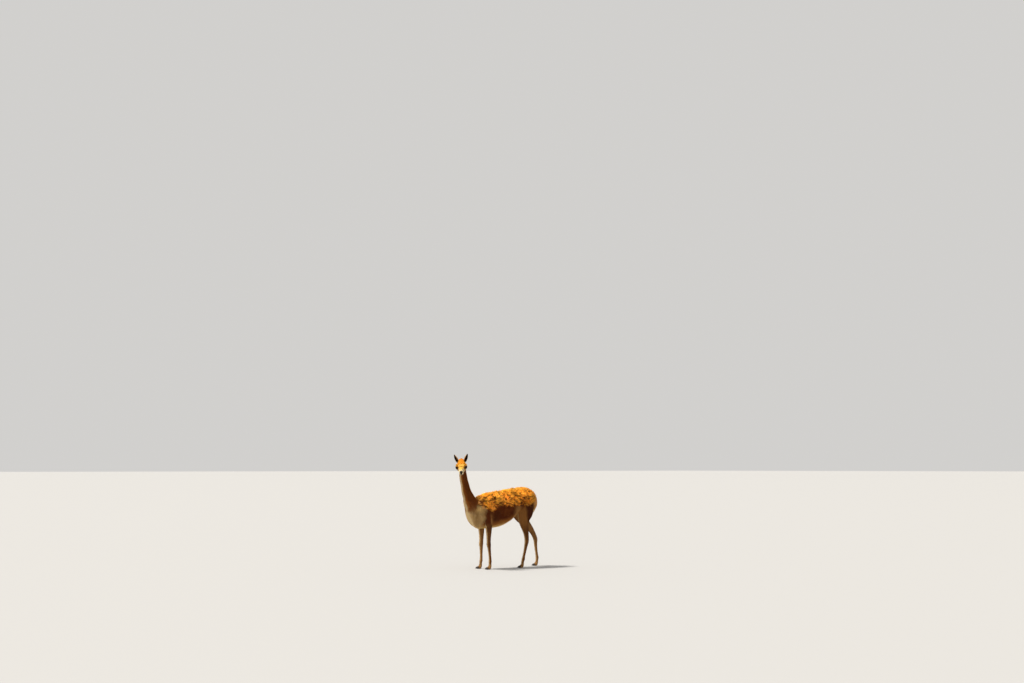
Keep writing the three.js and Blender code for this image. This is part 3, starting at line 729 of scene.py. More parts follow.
def part_samples():
    """Points over every part with the lie of the hair there, the part's number and its unwrap."""
    points, lies, parts, unwraps = [], [], [], []

    def add(part, rings, lie, side=0):
        count, sides = rings.shape[:2]
        t, angle = np.meshgrid(np.arange(count) / (count - 1), np.arange(sides) / sides, indexing="ij")
        points.append(rings.reshape(-1, 3))
        lies.append(np.broadcast_to(lie, rings.shape).reshape(-1, 3))
        parts.append(np.full(count * sides, PARTS.index(part)))
        unwraps.append(np.stack([angle.ravel(), t.ravel() + 2 * side], -1))

    def ahead(rings):
        return unit(np.gradient(rings.mean(1), axis=0))[:, None]

    rings = trunk_rings(80, 80)
    row = row_at(TRUNK_ROWS, np.linspace(0, 1, 80))
    y, top, bottom = row[:, :3].T[..., None]
    share = (top - rings[..., 2]) / (top - bottom)
    fall = math.radians(70) * ramp(0.0, 0.75, share) * ramp(1.05, 0.8, share)
    fall = np.maximum(fall, math.radians(85) * ramp(-0.3, -0.42, y))
    fall = np.maximum(fall, math.radians(80) * ramp(0.40, 0.5, y))
    add("trunk", rings, np.stack([np.zeros_like(fall), np.cos(fall), -np.sin(fall)], -1))
    rings = tube(NECK_ROWS, 60, 48, -DEPTHS["neck"])
    add("neck", rings, -ahead(rings))
    rings = tube(BRISKET_ROWS, 40, 40)
    add("trunk", rings, (0, 0.15, -1))
    rings = tube(TAIL_ROWS, 40, 32, -DEPTHS["tail"] * 0.5)
    add("tail", rings, ahead(rings))
    for k, name in enumerate(LEGS):
        rings = tube(leg_rows(name), 110, 40, -DEPTHS["leg"])
        add(name.split("_")[0], rings, ahead(rings), k)
        for which in SIDES:
            rings = tube(toe_rows(name, TOE_ROWS, which), 24, 24, -TOE_DEPTH)
            add("toe", rings, ahead(rings), 2 * k + (which + 1) / 2)
    rings = skull_rings(110, 80)
    forward, out, up = np.moveaxis(to_head(rings), -1, 0)
    crown = ramp(0.055, 0.02, forward) * ramp(0.02, 0.05, up)
    lie = np.stack([-np.ones_like(out), out * mix(4, 12, crown), -0.25 + 0.2 * crown], -1)
    lie[..., 2] -= 0.5 * ramp(0.09, 0.03, forward) * ramp(0.02, -0.02, up)
    add("head", rings, unit(lie @ HEAD_AXES))
    for side in SIDES:
        rings = ear_rings(side, 50, 40)
        add("ear", rings, ahead(rings), side > 0)
    return [np.concatenate(values) for values in (points, lies, parts, unwraps)]


def tree_over(points):
    """A tree that finds the nearest of some points."""
    tree = KDTree(len(points))
    for k, p in enumerate(points):
        tree.insert(p, k)
    tree.balance()
    return tree


def nearest_of(samples, points):
    """For each point, which sample is nearest."""
    tree = tree_over(samples)
    return np.array([tree.find(p)[1] for p in points])


class Skin:
    """The skin's points, triangles and what is known at each point, in the rows' frame."""

    def __init__(self, mesh):
        self.points = points_of(mesh) - SHIFT
        self.rough = wander(self.points, 0.03, 1)
        self.normals = normals_of(mesh)
        self.edges = edges_of(mesh)
        self.triangles = read_all(mesh.polygons, "vertices", 3, np.int32)
        points, lies, parts, unwraps = part_samples()
        near = nearest_of(points, self.points)
        self.part = parts[near]
        self.unwrap = unwraps[near]
        self.shares = averaged(np.eye(len(PARTS))[self.part], self.edges, 14)
        self.lie = unit(along_surface(averaged(lies[near], self.edges, 14), self.normals))
        a, b, c = (self.points[self.triangles[:, k]] for k in range(3))
        self.areas = np.linalg.norm(np.cross(b - a, c - a), axis=1) / 2
        self.tree = BVHTree.FromPolygons(self.points.tolist(), self.triangles.tolist())

    def share(self, *names):
        """How much each point is of the named parts, blended where they meet."""
        return sum(self.shares[:, PARTS.index(name)] for name in names)

    def on(self, name):
        """1 at the points of one part, 0 elsewhere."""
        return (self.part == PARTS.index(name)) * 1.0


body = Skin(skin.data)


# Markings. Colours are given as they look on a screen.
def colour(red, green, blue):
    c = np.array([red, green, blue]) / 255
    return np.where(c <= 0.04045, c / 12.92, ((c + 0.055) / 1.055) ** 2.4)


GOLD = colour(254, 174, 46)
ORANGE = colour(228, 132, 30)
RUST = colour(150, 86, 30)
RUSSET = colour(102, 42, 7)
CREAM = colour(247, 212, 150)
BEIGE = colour(224, 174, 106)
PALE = colour(242, 224, 182)
TAN = colour(172, 116, 56)
BROWN = colour(104, 62, 28)
UMBER = colour(54, 24, 9)
BLACK = colour(24, 18, 15)
CLUMP_SHADE = colour(72, 28, 7)  # painted shade between the clumps of the fleece
YELLOW = colour(255, 210, 96)


def painted(base, over, share):
    """base with another colour laid over it by share."""
    return mix(base, over, np.clip(share, 0, 1)[:, None])


def layered(base, *layers):
    """base with more colours laid over it in turn, each by its share."""
    for over, share in layers:
        base = painted(base, over, share)
    return base


def band(value, low, high, soft):
    """1 between low and high, fading to 0 over soft on either side."""
    return ramp(low - soft, low + soft, value) * ramp(high + soft, high - soft, value)


def spot(p, middle, reach):
    """1 at a place, fading to 0 at about twice its reach."""
    return np.exp(-np.sum(((p - middle) / reach) ** 2, axis=1))


def fleece_share(skin, lower=0.0):
    """Where the skin carries fleece, from 0 to 1, with its lower edge moved down."""
    y, z = skin.points[:, 1:].T
    edge = fleece_edge(y) + EDGE_WANDER * skin.rough - lower
    behind_neck = ramp(-0.43, -0.39, y - 0.25 * (z - 0.8) + 0.4 * lower)
    of_trunk = ramp(0.3, 0.7, skin.share("trunk", "tail", "hindleg", "foreleg"))
    return ramp(edge - 0.008, edge + 0.012, z) * behind_neck * of_trunk


def side_turn(normals):
    """By how many degrees each place faces sideways from straight ahead."""
    return np.degrees(np.arctan2(np.abs(normals[:, 0]), -normals[:, 1]))


def throat(strands, turn, rough):
    """The bib's hair, creamy in front, with painted shade darkening it at the sides."""
    turn = turn + 5 * rough
    strands = painted(strands, mix(CREAM, PALE, 0.6), 0.85 * ramp(34, 10, turn))
    # Painted shade: the sides of the bib are darkened.
    return strands * mix(1.0, 0.68, ramp(18, 48, turn))[:, None]


def trunk_colours(skin, strands):
    """Dark flank, tan belly, cream bib and fold, golden fleece painted lighter on top, dark rump with a
    pale edge partly painted as rim light.
    """
    p, n, rough = skin.points, skin.normals, skin.rough
    x, y, z = p.T
    edge = fleece_edge(y)
    high = ramp(edge, edge + 0.13, z)
    above_belly = z - np.interp(y, TRUNK_ROWS[:, 0], TRUNK_ROWS[:, 2]) + 0.012 * rough
    fold = band(y + 0.1 * (z - 0.66) + 0.02 * rough, 0.10, 0.19, 0.04) * ramp(0.0, -0.04, z - edge)
    bib = ramp(-0.314, -0.352, y + 0.02 * rough + 0.35 * np.maximum(0, 0.62 - z))
    under_neck = ramp(0.66, 0.75, z + 0.02 * rough) * ramp(14, 34, side_turn(n))
    shoulder = spot(np.stack([np.abs(x), y, z], 1), (0.074, -0.383, 0.742), (0.06, 0.035, 0.03))
    rump = ramp(0.25, 0.30, y + 0.25 * (z - 0.69) + 0.012 * rough)
    # The pale rear edge: partly the rump's own pale hair and partly painted rim light along its outline.
    behind = ramp(0.34, 0.64, n[:, 1] + 0.1 * rough)
    behind = np.maximum(behind, ramp(0.385, 0.415, 0.61 * np.abs(x) + 0.79 * y + 0.008 * rough))
    flank = layered(
        RUSSET,
        (RUST, 0.3 * ramp(0.0, 0.8, rough)),
        (UMBER, 0.45 * ramp(-0.2, 0.8, wander(p, 0.05, 8))),
        (mix(TAN, ORANGE, 0.25), 0.9 * ramp(0.12, 0.05, above_belly)),
        (mix(CREAM, YELLOW, 0.4), ramp(0.06, 0.015, above_belly)),
        (mix(TAN, BEIGE, 0.3), 0.8 * fold),
        (mix(BEIGE, CREAM, 0.5), 0.8 * fold * ramp(0.66, 0.56, z)),
        (throat(strands, side_turn(n), rough), bib),
        (mix(RUST, BROWN, 0.5), 0.85 * bib * under_neck),
        (mix(CREAM, YELLOW, 0.3), 0.85 * shoulder),
        (mix(UMBER, RUSSET, 0.35), rump * ramp(0.54, 0.6, z)),
        (mix(BEIGE, ORANGE, 0.2), rump * behind),
    )
    wool = layered(
        ORANGE,
        # Golden by noise and where the wool faces up, which is painted light; rusty by noise and low down,
        # which is partly painted shade.
        (GOLD, ramp(-0.6, 0.6, wander(p, 0.045, 4) + 1.2 * n[:, 2] - 0.5)),
        (RUST, 0.5 * ramp(0.2, 0.8, wander(p, 0.03, 5)) + 0.3 * (1 - high)),
        (CREAM, 0.75 * ramp(-0.35, -0.39, y) * ramp(0.83, 0.79, z)),
    )
    return painted(flank, wool, fleece_share(skin)), bib


def neck_colours(skin, strands):
    """Cinnamon, darker from the sides round with partly painted shade, a tan back that is painted rim
    light, and a narrow cream front that widens into the bib.
    """
    rough = skin.rough
    turn = side_turn(skin.normals) + 5 * rough
    low = ramp(0.80, 0.64, skin.points[:, 2] + 0.014 * rough)
    return layered(
        mix(RUST, ORANGE, 0.15 + 0.2 * rough[:, None]),
        # Darker from the sides round: partly painted shade.
        (mix(RUSSET, RUST, 0.35), ramp(30, 60, turn)),
        # Tan at the back: painted rim light.
        (mix(RUST, TAN, 0.7), ramp(112, 136, turn)),
        (TAN, 0.8 * ramp(38, 18, turn)),
        (throat(strands, turn, 0), ramp(26, 13, turn - 130 * low**2)),
    )


def head_colours(skin):
    """Orange crown, yellow brows, cream cheeks, lips and throat, black nose, with a painted highlight on
    the bridge and painted shade under the brows and before the eyes.
    """
    p = skin.points
    forward, out, up = to_head(p).T
    out = np.abs(out)
    rough = wander(p, 0.012, 6)
    cheek = ramp(-0.008, -0.03, up + 0.003 * rough) * ramp(0.0, 0.045, forward + 0.3 * up)
    bridge = ramp(0.050, 0.066, forward) * ramp(-0.012, 0.006, up) * ramp(0.036, 0.026, out)
    parting = spot(np.stack([forward, out, up], 1), (0.052, 0.0, 0.046), (0.008, 0.012, 0.02))
    brow = ramp(0.026, 0.040, out) * ramp(0.010, 0.020, up) * ramp(0.02, 0.036, forward)
    muzzle = ramp(0.088, 0.112, forward) * ramp(0.006, -0.006, up - 0.1 * (forward - 0.1))
    under_eye = 0.7 * band(forward, 0.062, 0.098, 0.01) * band(up, -0.032, -0.006, 0.006)
    level = EYE_AT[0] * math.sin(HEAD_PITCH) - EYE_AT[2] * math.cos(HEAD_PITCH)
    height = up * math.cos(HEAD_PITCH) - forward * math.sin(HEAD_PITCH) + level
    ahead = ramp(0.045, 0.058, forward)
    brow_shadow = band(height + 12 * out**2, 0.006, 0.013, 0.006) * ramp(0.045, 0.03, out) * ahead
    hollow = ramp(1.15, 0.8, np.hypot((out - 0.047) / 0.0165, height / 0.015)) * ahead
    nose_half = mix(0.0095, 0.0175, ramp(-0.022, -0.012, up))
    nose = ramp(0.151, 0.158, forward + 0.25 * up) * ramp(-0.048, -0.042, up)
    return layered(
        TAN,
        (ORANGE, ramp(-0.01, 0.02, up)),
        (RUST, 0.8 * ramp(0.03, 0.0, forward) * ramp(0.03, 0.0, up)),
        (CREAM, cheek),
        (GOLD, ramp(0.012, 0.035, up) * ramp(-0.01, 0.02, forward)),
        (mix(ORANGE, GOLD, 0.8), ramp(0.05, 0.066, up + 0.004 * rough)),
        # Painted highlight: yellow on the top of the bridge.
        (YELLOW, bridge),
        (ORANGE, 0.6 * parting),
        (mix(YELLOW, GOLD, 0.6), brow * ramp(0.058, 0.046, up)),
        (PALE, muzzle),
        (BEIGE, under_eye),
        # Painted shadow: a thin brown line under the brows, across the bridge.
        (mix(BROWN, ORANGE, 0.2), 0.85 * brow_shadow),
        # Dark before each eye: partly its dark skin, partly painted shade under the brow.
        (mix(UMBER, BROWN, 0.3), 0.9 * hollow),
        (BLACK, nose * ramp(nose_half + 0.002, nose_half - 0.001, out)),
    )


def leg_colours(skin):
    """Brown, darker behind, pale along the front and inside; the thigh's front is tan."""
    n, rough = skin.normals, skin.rough
    x, y, z = skin.points.T
    outer, fore = n[:, 0] * np.sign(x), -n[:, 1]
    outside = ramp(-0.25, 0.1, outer)
    arm = skin.share("foreleg") * ramp(0.5, 0.56, z) * outside
    thigh = skin.share("hindleg") * ramp(0.44, 0.54, z) * outside
    back = np.where(x > 0, 0.0, 0.06)
    rear = ramp(0.25, 0.30, y - back * ramp(0.7, 0.6, z) + 0.25 * (z - 0.69) + 0.012 * rough)
    return layered(
        mix(BROWN, TAN, 0.14 + 0.22 * rough[:, None]),
        (RUST, 0.35 * ramp(0.34, 0.2, z)),
        (UMBER, 0.55 * ramp(0.1, 0.8, -fore)),
        (mix(BEIGE, TAN, 0.6), 0.4 * ramp(0.15, 0.75, -outer)),
        (CREAM, 0.75 * ramp(0.78, 0.95, fore)),
        (mix(RUSSET, UMBER, 0.3), 0.92 * arm),
        (mix(TAN, BEIGE, 0.3), 0.8 * arm * band(y + 0.01 * rough, -0.243, -0.195, 0.012)),
        (mix(TAN, BROWN, 0.5), thigh * (1 - rear)),
        (mix(UMBER, RUSSET, 0.35), thigh * rear * ramp(0.5, 0.58, z)),
        (mix(BEIGE, CREAM, 0.4), thigh * ramp(0.6, 0.9, n[:, 1] + 0.1 * rough)),
    )


RIM_HALF_LONG, RIM_HALF_HIGH = 0.018, 0.013
RIM_FRONT = 0.004  # the rim's hair is at least this far in front of the eye's middle


def from_mouth(p):
    """How far each point is from the line of the mouth."""
    line = row_at(mouth, np.linspace(0, 1, 80))
    near = np.linalg.norm(p - line[40], axis=1) < 0.09
    away = np.full(len(p), 1.0)
    away[near] = np.min(np.linalg.norm(p[near, None] - line[None], axis=2), axis=1)
    return away


def eye_rim(p, side, lower=0.0):
    """Places in an eye's own axes, and how far out in its opening they are, with its edge at 1."""
    q = (p - eye_place(side)) @ eye_axes(side).T
    return q, np.sqrt((q[:, 1] / RIM_HALF_LONG) ** 2 + ((q[:, 2] - lower) / RIM_HALF_HIGH) ** 2)


def ear_places(p, side):
    """How far each point is in the hollow of an ear, and on its rim."""
    root, up, face = ear_axes(side)
    q = p - root
    t = np.clip(q @ up / EAR_LENGTH, 0, 1)
    ahead = q @ face + EAR_CURL * t * t
    aside = np.abs(q @ np.cross(up, face)) / (EAR_WIDTH * ear_shape(t))
    hollow = ramp(-0.008, -0.002, ahead) * ramp(0.92, 0.84, aside)
    return hollow, ramp(0.84, 0.93, aside) * ramp(-0.012, -0.004, ahead)


def markings(skin):
    """Colour of the coat at each point of the skin, and how much of it is fleece and bib."""
    p = skin.points
    drawn_out = p * (1, 1, 0.2)
    strands = layered(
        CREAM,
        (BEIGE, ramp(-0.4, 0.6, wander(p * (1, 1, 0.35), 0.006, 2))),
        (TAN, 0.6 * ramp(0.2, 0.8, wander(drawn_out, 0.011, 3))),
        (mix(TAN, BROWN, 0.3), 0.55 * ramp(0.1, 0.7, wander(drawn_out, 0.028, 7))),
    )
    trunk, bib = trunk_colours(skin, strands)
    colours = layered(
        trunk,
        (neck_colours(skin, strands), skin.share("neck")),
        (head_colours(skin), skin.share("head")),
        (mix(UMBER, BROWN, 0.6), 0.75 * ramp(0.0028, 0.0014, from_mouth(p))),
    )
    for side in SIDES:
        q, rim = eye_rim(p, side, 0.0004)
        hollow, ear_rim = ear_places(p, side)
        ear = layered(mix(TAN, ORANGE, 0.3), (mix(UMBER, BLACK, 0.6), hollow), (BEIGE, ear_rim))
        colours = layered(
            colours,
            (mix(UMBER, BROWN, 0.15), ramp(1.2, 1.0, rim) * (q[:, 0] > RIM_FRONT)),
            (ear, skin.share("ear") * (np.sign(to_head(p)[:, 1]) == side)),
        )
    fleece = fleece_share(skin)
    tail = painted(mix(TAN, RUST, 0.4), CREAM, ramp(0.1, 0.7, np.abs(skin.normals[:, 0])))
    colours = layered(
        colours,
        (leg_colours(skin), skin.share("foreleg", "hindleg") * (1 - fleece)),
        (mix(BROWN, BEIGE, 0.3), skin.share("toe")),
        (tail, ramp(0.4, 0.8, skin.share("tail"))),
    )
    return colours, fleece, bib


colours, fleece, bib = markings(body)


def paint(mesh, colours):
    """Colours for every point of a mesh."""
    layer = mesh.color_attributes.new(name="Col", type="FLOAT_COLOR", domain="POINT")
    rgba = np.ones((len(mesh.vertices), 4), np.float32)
    rgba[:, :3] = colours
    layer.data.foreach_set("color", rgba.ravel())


# Under the wool the skin is painted dark, as painted shade that shows between the clumps.
paint(skin.data, painted(colours, UMBER, 0.7 * fleece))


# Materials
def feed(tree, node, inputs):
    """Sets a node's inputs to constants, or links outputs to them."""
    for name, value in inputs.items():
        if isinstance(value, bpy.types.NodeSocket):
            tree.links.new(value, node.inputs[name])
        else:
            node.inputs[name].default_value = value
    return node.outputs


def material(
    name,
    roughness,
    sheen=0.0,
    speckle=0.0,
    speckle_size=0.002,
    bump=0.0,
    bump_size=0.002,
    shine=0.1,
    coat=0.0,
):
    """A surface that takes its colour from the painted points, broken up by fine speckles and relief."""
    surface = bpy.data.materials.new(name)
    surface.use_nodes = True
    tree = surface.node_tree
    attribute = tree.nodes.new("ShaderNodeAttribute")
    attribute.attribute_name = "Col"
    shown = attribute.outputs["Color"]
    place = tree.nodes.new("ShaderNodeTexCoord").outputs["Object"]

    def grain(size, detail):
        settings = {"Scale": 1 / size, "Detail": detail, "Vector": place}
        return feed(tree, tree.nodes.new("ShaderNodeTexNoise"), settings)["Fac"]

    if speckle:
        settings = {"Value": grain(speckle_size, 3), "To Min": 1 - speckle, "To Max": 1 + speckle}
        level = feed(tree, tree.nodes.new("ShaderNodeMapRange"), settings)["Result"]
        times = tree.nodes.new("ShaderNodeVectorMath")
        times.operation = "SCALE"
        shown = feed(tree, times, {0: shown, "Scale": level})["Vector"]
    settings = {
        "Base Color": shown,
        "Roughness": roughness,
        "Sheen Weight": sheen,
        "Sheen Roughness": 0.4,
        "Sheen Tint": (1.0, 0.8, 0.55, 1),
        "Specular IOR Level": shine,
        "Coat Weight": coat,
        "Coat Roughness": 0.03,
    }
    if bump:
        relief = {"Height": grain(bump_size, 4), "Strength": 0.6, "Distance": bump}
        settings["Normal"] = feed(tree, tree.nodes.new("ShaderNodeBump"), relief)["Normal"]
    feed(tree, tree.nodes["Principled BSDF"], settings)
    return surface


MATERIALS = {
    "skin": material("short coat", 0.8, sheen=0.02, speckle=0.25, bump=0.0012, bump_size=0.0025),
    "fleece": material("fleece", 0.75, sheen=0.03, speckle=0.2, speckle_size=0.004),
    "neck_coat": material("neck coat", 0.75, sheen=0.03, speckle=0.2, speckle_size=0.003),
    "face_coat": material("face coat", 0.75, sheen=0.02, speckle=0.2),
    "leg_coat": material("leg coat", 0.75, sheen=0.02, speckle=0.2),
    "nail": material(
        "nail", 0.42, speckle=0.3, speckle_size=0.003, bump=0.0004, bump_size=0.0015, shine=0.3
    ),
    "eye": material("eye", 0.3, shine=0.0, coat=0.3),
}


def finish_piece(obj, material_name, slot_name, *replaced):
    """Gives the piece its material and body, and hides the CAD nodes that it stands for; slot_name is not
    used.
    """
    obj.data.materials.append(MATERIALS[material_name])
    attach(obj, BODY)
    if replaced:
        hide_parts(*replaced)


# Coat. Each tuft is a thin solid, three sided, that tapers to a point.
rng = np.random.default_rng(SEED)
PATCH = 0.003  # size of a tuft's patch on the unwrap
ROOT_DEPTH = 0.002  # how far under the skin a tuft starts
# The nearest skin may move by this many times a step of the tuft, and this much more.
JUMP, JUMP_MORE = 1.6, 0.006
# How wide a tuft is at places along it, as a share of its greatest width.
SWELL = ([0, 0.35, 0.7, 1], [0.7, 1, 0.75, 0.2])
# How many tufts each piece has, or each quarter of the fleece is sown with, some past its edge.
TUFTS = {
    "fleece": 14900,
    "flank": 19000,
    "bib": 11200,
    "neck": 20000,
    "foreleg": 13000,
    "hindleg": 16000,
    "tail": 4200,
    "toe": 3600,
    "head": 28000,
    "lashes": 260,
    "brow": 2600,
    "ear": 6000,
}


class Coat:
    """Tufts that grow from roots on the skin."""

    def __init__(self, skin, where, count):
        """Roots spread evenly over the skin by the weight where."""
        weight = skin.areas * where[skin.triangles].mean(1)
        reach = np.cumsum(weight)
        spots = (np.arange(count) + rng.random(count)) / count * reach[-1]
        self.skin = skin
        self.corners = skin.triangles[np.minimum(np.searchsorted(reach, spots), len(weight) - 1)]
        a, b = rng.random((2, count))
        over = a + b > 1
        a, b = np.where(over, 1 - a, a), np.where(over, 1 - b, b)
        self.shares = np.stack([1 - a - b, a, b], -1)[..., None]
        self.root = self.read(skin.points)
        self.normal = unit(self.read(skin.normals))
        self.count = count

    def read(self, values):
        """Values known at the skin's points, or one for all of them, read at the roots."""
        if np.ndim(values) == 0:
            values = np.full(len(self.skin.points), values)
        values = values if values.ndim > 1 else values[:, None]
        out = np.sum(values[self.corners] * self.shares, axis=1)
        return out if out.shape[1] > 1 else out[:, 0]

    def keep(self, chosen):
        """Only the chosen roots stay."""
        self.corners, self.shares = self.corners[chosen], self.shares[chosen]
        self.root, self.normal = self.root[chosen], self.normal[chosen]
        self.count = len(self.root)

    def heading(self, spread, lie=None):
        """The lie of the hair at each root, turned at random by about spread degrees."""
        lie = unit(along_surface(self.read(self.skin.lie if lie is None else lie), self.normal))
        drift = 1.3 * wander(self.root, 0.03, 9)[:, None]
        turn = np.radians(spread) * (rng.normal(size=(self.count, 1)) + drift)
        return unit(lie * np.cos(turn) + np.cross(self.normal, lie) * np.sin(turn))

    def paths(self, heading, length, height, rings, pull):
        """For each tuft its middle line from under the skin to its tip, and the normals along it.

        height gives the rise at each place from 0 to 1 along it. pull moves a tuft's end sideways.
        """
        line, normals = [self.root - self.normal * ROOT_DEPTH], [self.normal]
        base = self.root
        for k in range(1, rings + 1):
            t = k / rings
            p = self.root + heading * (length * t)[:, None] + pull * t**1.5
            before = base
            found = [self.skin.tree.find_nearest(place)[:2] for place in p.tolist()]
            base, out = np.array(found).transpose(1, 0, 2)
            # A tuft at the end of a part hangs free instead of reaching over to the next part.
            free = np.linalg.norm(base - before, axis=1) > JUMP * length / rings + JUMP_MORE
            base[free], out[free] = p[free], normals[-1][free]
            line.append(base + out * height(t)[:, None])
            normals.append(out)
        return np.array(line), np.array(normals)


def tuft_faces(rings):
    """The triangles of a tuft: from its root through rings of three points to its tip."""
    tip = 3 * rings + 1
    faces = []
    for s in range(3):
        n = (s + 1) % 3
        faces.append((0, 1 + n, 1 + s))
        for a, b in [(1 + 3 * r + s, 1 + 3 * r + n) for r in range(rings - 1)]:
            faces += [(a, b, b + 3), (a, b + 3, a + 3)]
        faces.append((3 * rings - 2 + s, 3 * rings - 2 + n, tip))
    return np.array(faces)


def tuft_mesh(name, coat, line, normals, width, thick, colours, slot_name):
    """One object of all the tufts along their lines, with colours given at each place along them."""
    rings, count = len(line) - 2, coat.count
    along = unit(np.gradient(line, axis=0))[1:-1]
    side = unit(np.cross(along, normals[1:-1]))
    over = np.cross(side, along)
    swell = np.interp(np.arange(1, rings + 1) / (rings + 1), *SWELL)[:, None, None]
    half, rise = swell * (width / 2)[:, None], swell * (thick * width)[:, None]
    around = np.stack([line[1:-1] - side * half, line[1:-1] + over * rise, line[1:-1] + side * half], 2)
    around = around.transpose(1, 0, 2, 3).reshape(count, -1, 3)
    points = np.concatenate([line[0][:, None], around, line[-1][:, None]], 1)
    points[..., 2] = np.maximum(points[..., 2], SOLE)
    faces = tuft_faces(rings)
    per = points.shape[1]
    corners = (faces[None] + per * np.arange(count)[:, None, None]).reshape(-1)
    mesh = bpy.data.meshes.new(name)
    mesh.vertices.add(count * per)
    move_points(mesh, points.reshape(-1, 3) + SHIFT)
    mesh.loops.add(len(corners))
    mesh.loops.foreach_set("vertex_index", corners.astype(np.int32))
    total = count * len(faces)
    mesh.polygons.add(total)
    mesh.polygons.foreach_set("loop_start", np.arange(total, dtype=np.int32) * 3)
    mesh.update(calc_edges=True)
    mesh.shade_smooth()
    place = [(s / 2, (r + 1) / (rings + 1)) for r in range(rings) for s in range(3)]
    place = np.array([(0.5, 0), *place, (0.5, 1)])
    patches = (unwrap_places(coat)[:, None] + place[None] * PATCH).reshape(-1, 2)
    layer = mesh.uv_layers.new(name="OFBake")
    layer.uv.foreach_set("vector", patches[corners].astype(np.float32).ravel())
    at_points = np.concatenate([colours[:1], np.repeat(colours[1:-1], 3, axis=0), colours[-1:]])
    paint(mesh, at_points.transpose(1, 0, 2).reshape(-1, 3))
    finish_piece(placed(name, mesh), slot_name, slot_name)


def unwrap_places(coat):
    """Each root's place on the unwraps of the parts it grows from, laid side by side over the square."""
    vertex = coat.corners[:, 0]
    place = coat.skin.unwrap[vertex]
    group = coat.skin.part[vertex] * 100 + np.round(place[:, 1] - 0.5).astype(int)
    out = np.zeros((coat.count, 2))
    left = 0.0
    for key in np.unique(group):
        chosen = group == key
        width = chosen.mean()
        local = place[chosen]
        low, high = local.min(0), local.max(0)
        local = (local - low) / np.maximum(high - low, 1e-6)
        out[chosen] = local * (width, 1) + (left, 0)
        left += width
    return out * (1 - 2 * PATCH)


def short_coat(
    part,
    where,
    length,
    width,
    depth,
    slot_name,
    spread,
    rings=2,
    dark=0.62,
    light=1.1,
    lie=None,
    curl=0.0,
):
    """Tufts that lie along the body, whose colours go from dark times the skin's at the root, as painted
    shade, to light times it at the tip, as painted light.

    length, width and depth are one number, or are known at the skin's points.
    """
    count = TUFTS[part]
    coat = Coat(body, where, count)
    long = coat.read(length) * rng.uniform(0.7, 1.2, count)
    wide = coat.read(width) * rng.uniform(0.7, 1.25, count)
    deep = coat.read(depth) * rng.uniform(0.4, 1.1, count)
    pull = rng.normal(0, 1, (count, 3)) * curl
    heading = coat.heading(spread, lie)
    line, normals = coat.paths(heading, long, lambda t: deep * min(1.0, 1.9 * t), rings, pull)
    base = coat.read(colours) * np.exp(rng.normal(0, 0.13, (count, 1)))
    # Painted shade at the roots and painted light at the tips.
    tone = mix(dark, light, ramp(0, 0.8, np.linspace(0, 1, rings + 1)))[:, None, None]
    tuft_mesh(part + "_coat", coat, line, normals, wide, 0.35, base[None] * tone, slot_name)


FLEECE_SPACING = 0.062  # between the middles of clumps
FLEECE_TRIES = 7000  # places from which the middles are drawn
FLEECE_LENGTH = 0.040
FLEECE_LOCKS = 1700  # in each quarter of the fleece
FLEECE_RINGS = 3
FLEECE_HALFWAY = 0.03  # where the front quarters meet the back ones
FLEECE_HANG = 0.026  # how far clumps hang past the fleece's edge at most
TIP_TONE = 1.36  # how much lighter the tips of the fleece are than the skin's colours


class Clumps:
    """The clumps of the fleece: their middles, and how each one lies, hangs, rises and is toned."""

    def __init__(self, where):
        """Middles that keep apart, drawn from places on the skin by the weight where."""
        coat = Coat(body, where, FLEECE_TRIES)
        tree = tree_over(coat.root)
        taken = np.zeros(coat.count, bool)
        kept = []
        for k in rng.permutation(coat.count):
            if not taken[k]:
                kept.append(k)
                for _, j, _ in tree.find_range(coat.root[k], FLEECE_SPACING * rng.uniform(0.7, 1.25)):
                    taken[j] = True
        count = (len(kept), 1)
        self.middle, self.lie = coat.root[kept], coat.heading(32)[kept]
        self.hang = rng.uniform(0, FLEECE_HANG, len(kept))
        self.long = rng.uniform(0.8, 1.25, count)
        self.rise = rng.uniform(0.78, 1.06, count)
        self.tone = np.exp(rng.normal(0, 0.2, count))


def ragged(points):
    """1 in the gaps of the wool, which get painted shade and are longer along the body."""
    fine = wander(points * (1, 0.55, 1.2), 0.016, 12)
    return ramp(0.12, 0.5, fine + 0.3 * wander(points, 0.05, 13))


class Locks:
    """The small curved locks that make up the clumps of a quarter of the fleece."""

    def __init__(self, clumps, where):
        coat = Coat(body, where, FLEECE_LOCKS)
        self.root = coat.root
        clump = nearest_of(clumps.middle, self.root)
        offset = (self.root - clumps.middle[clump]) / FLEECE_SPACING
        self.lie = unit(clumps.lie[clump] + 0.8 * offset + 0.42 * rng.normal(size=offset.shape))
        self.long = FLEECE_LENGTH * clumps.long[clump, 0] * rng.uniform(0.75, 1.2, coat.count)
        gap = ragged(self.root + self.lie * (0.7 * self.long)[:, None])
        self.rise = clumps.rise[clump, 0] * mix(1.06, 0.45, gap) * rng.uniform(0.6, 1.0, coat.count)
        bumps = wander(self.root * (1, 0.8, 1), 0.024, 14) * ramp(0.1, 0.6, coat.normal[:, 2])
        self.rise = self.rise * np.exp(0.5 * bumps)
        self.pull = rng.normal(0, 0.008, (coat.count, 3))
        self.tone = clumps.tone[clump] * np.exp(rng.normal(0, 0.12, (coat.count, 1)))


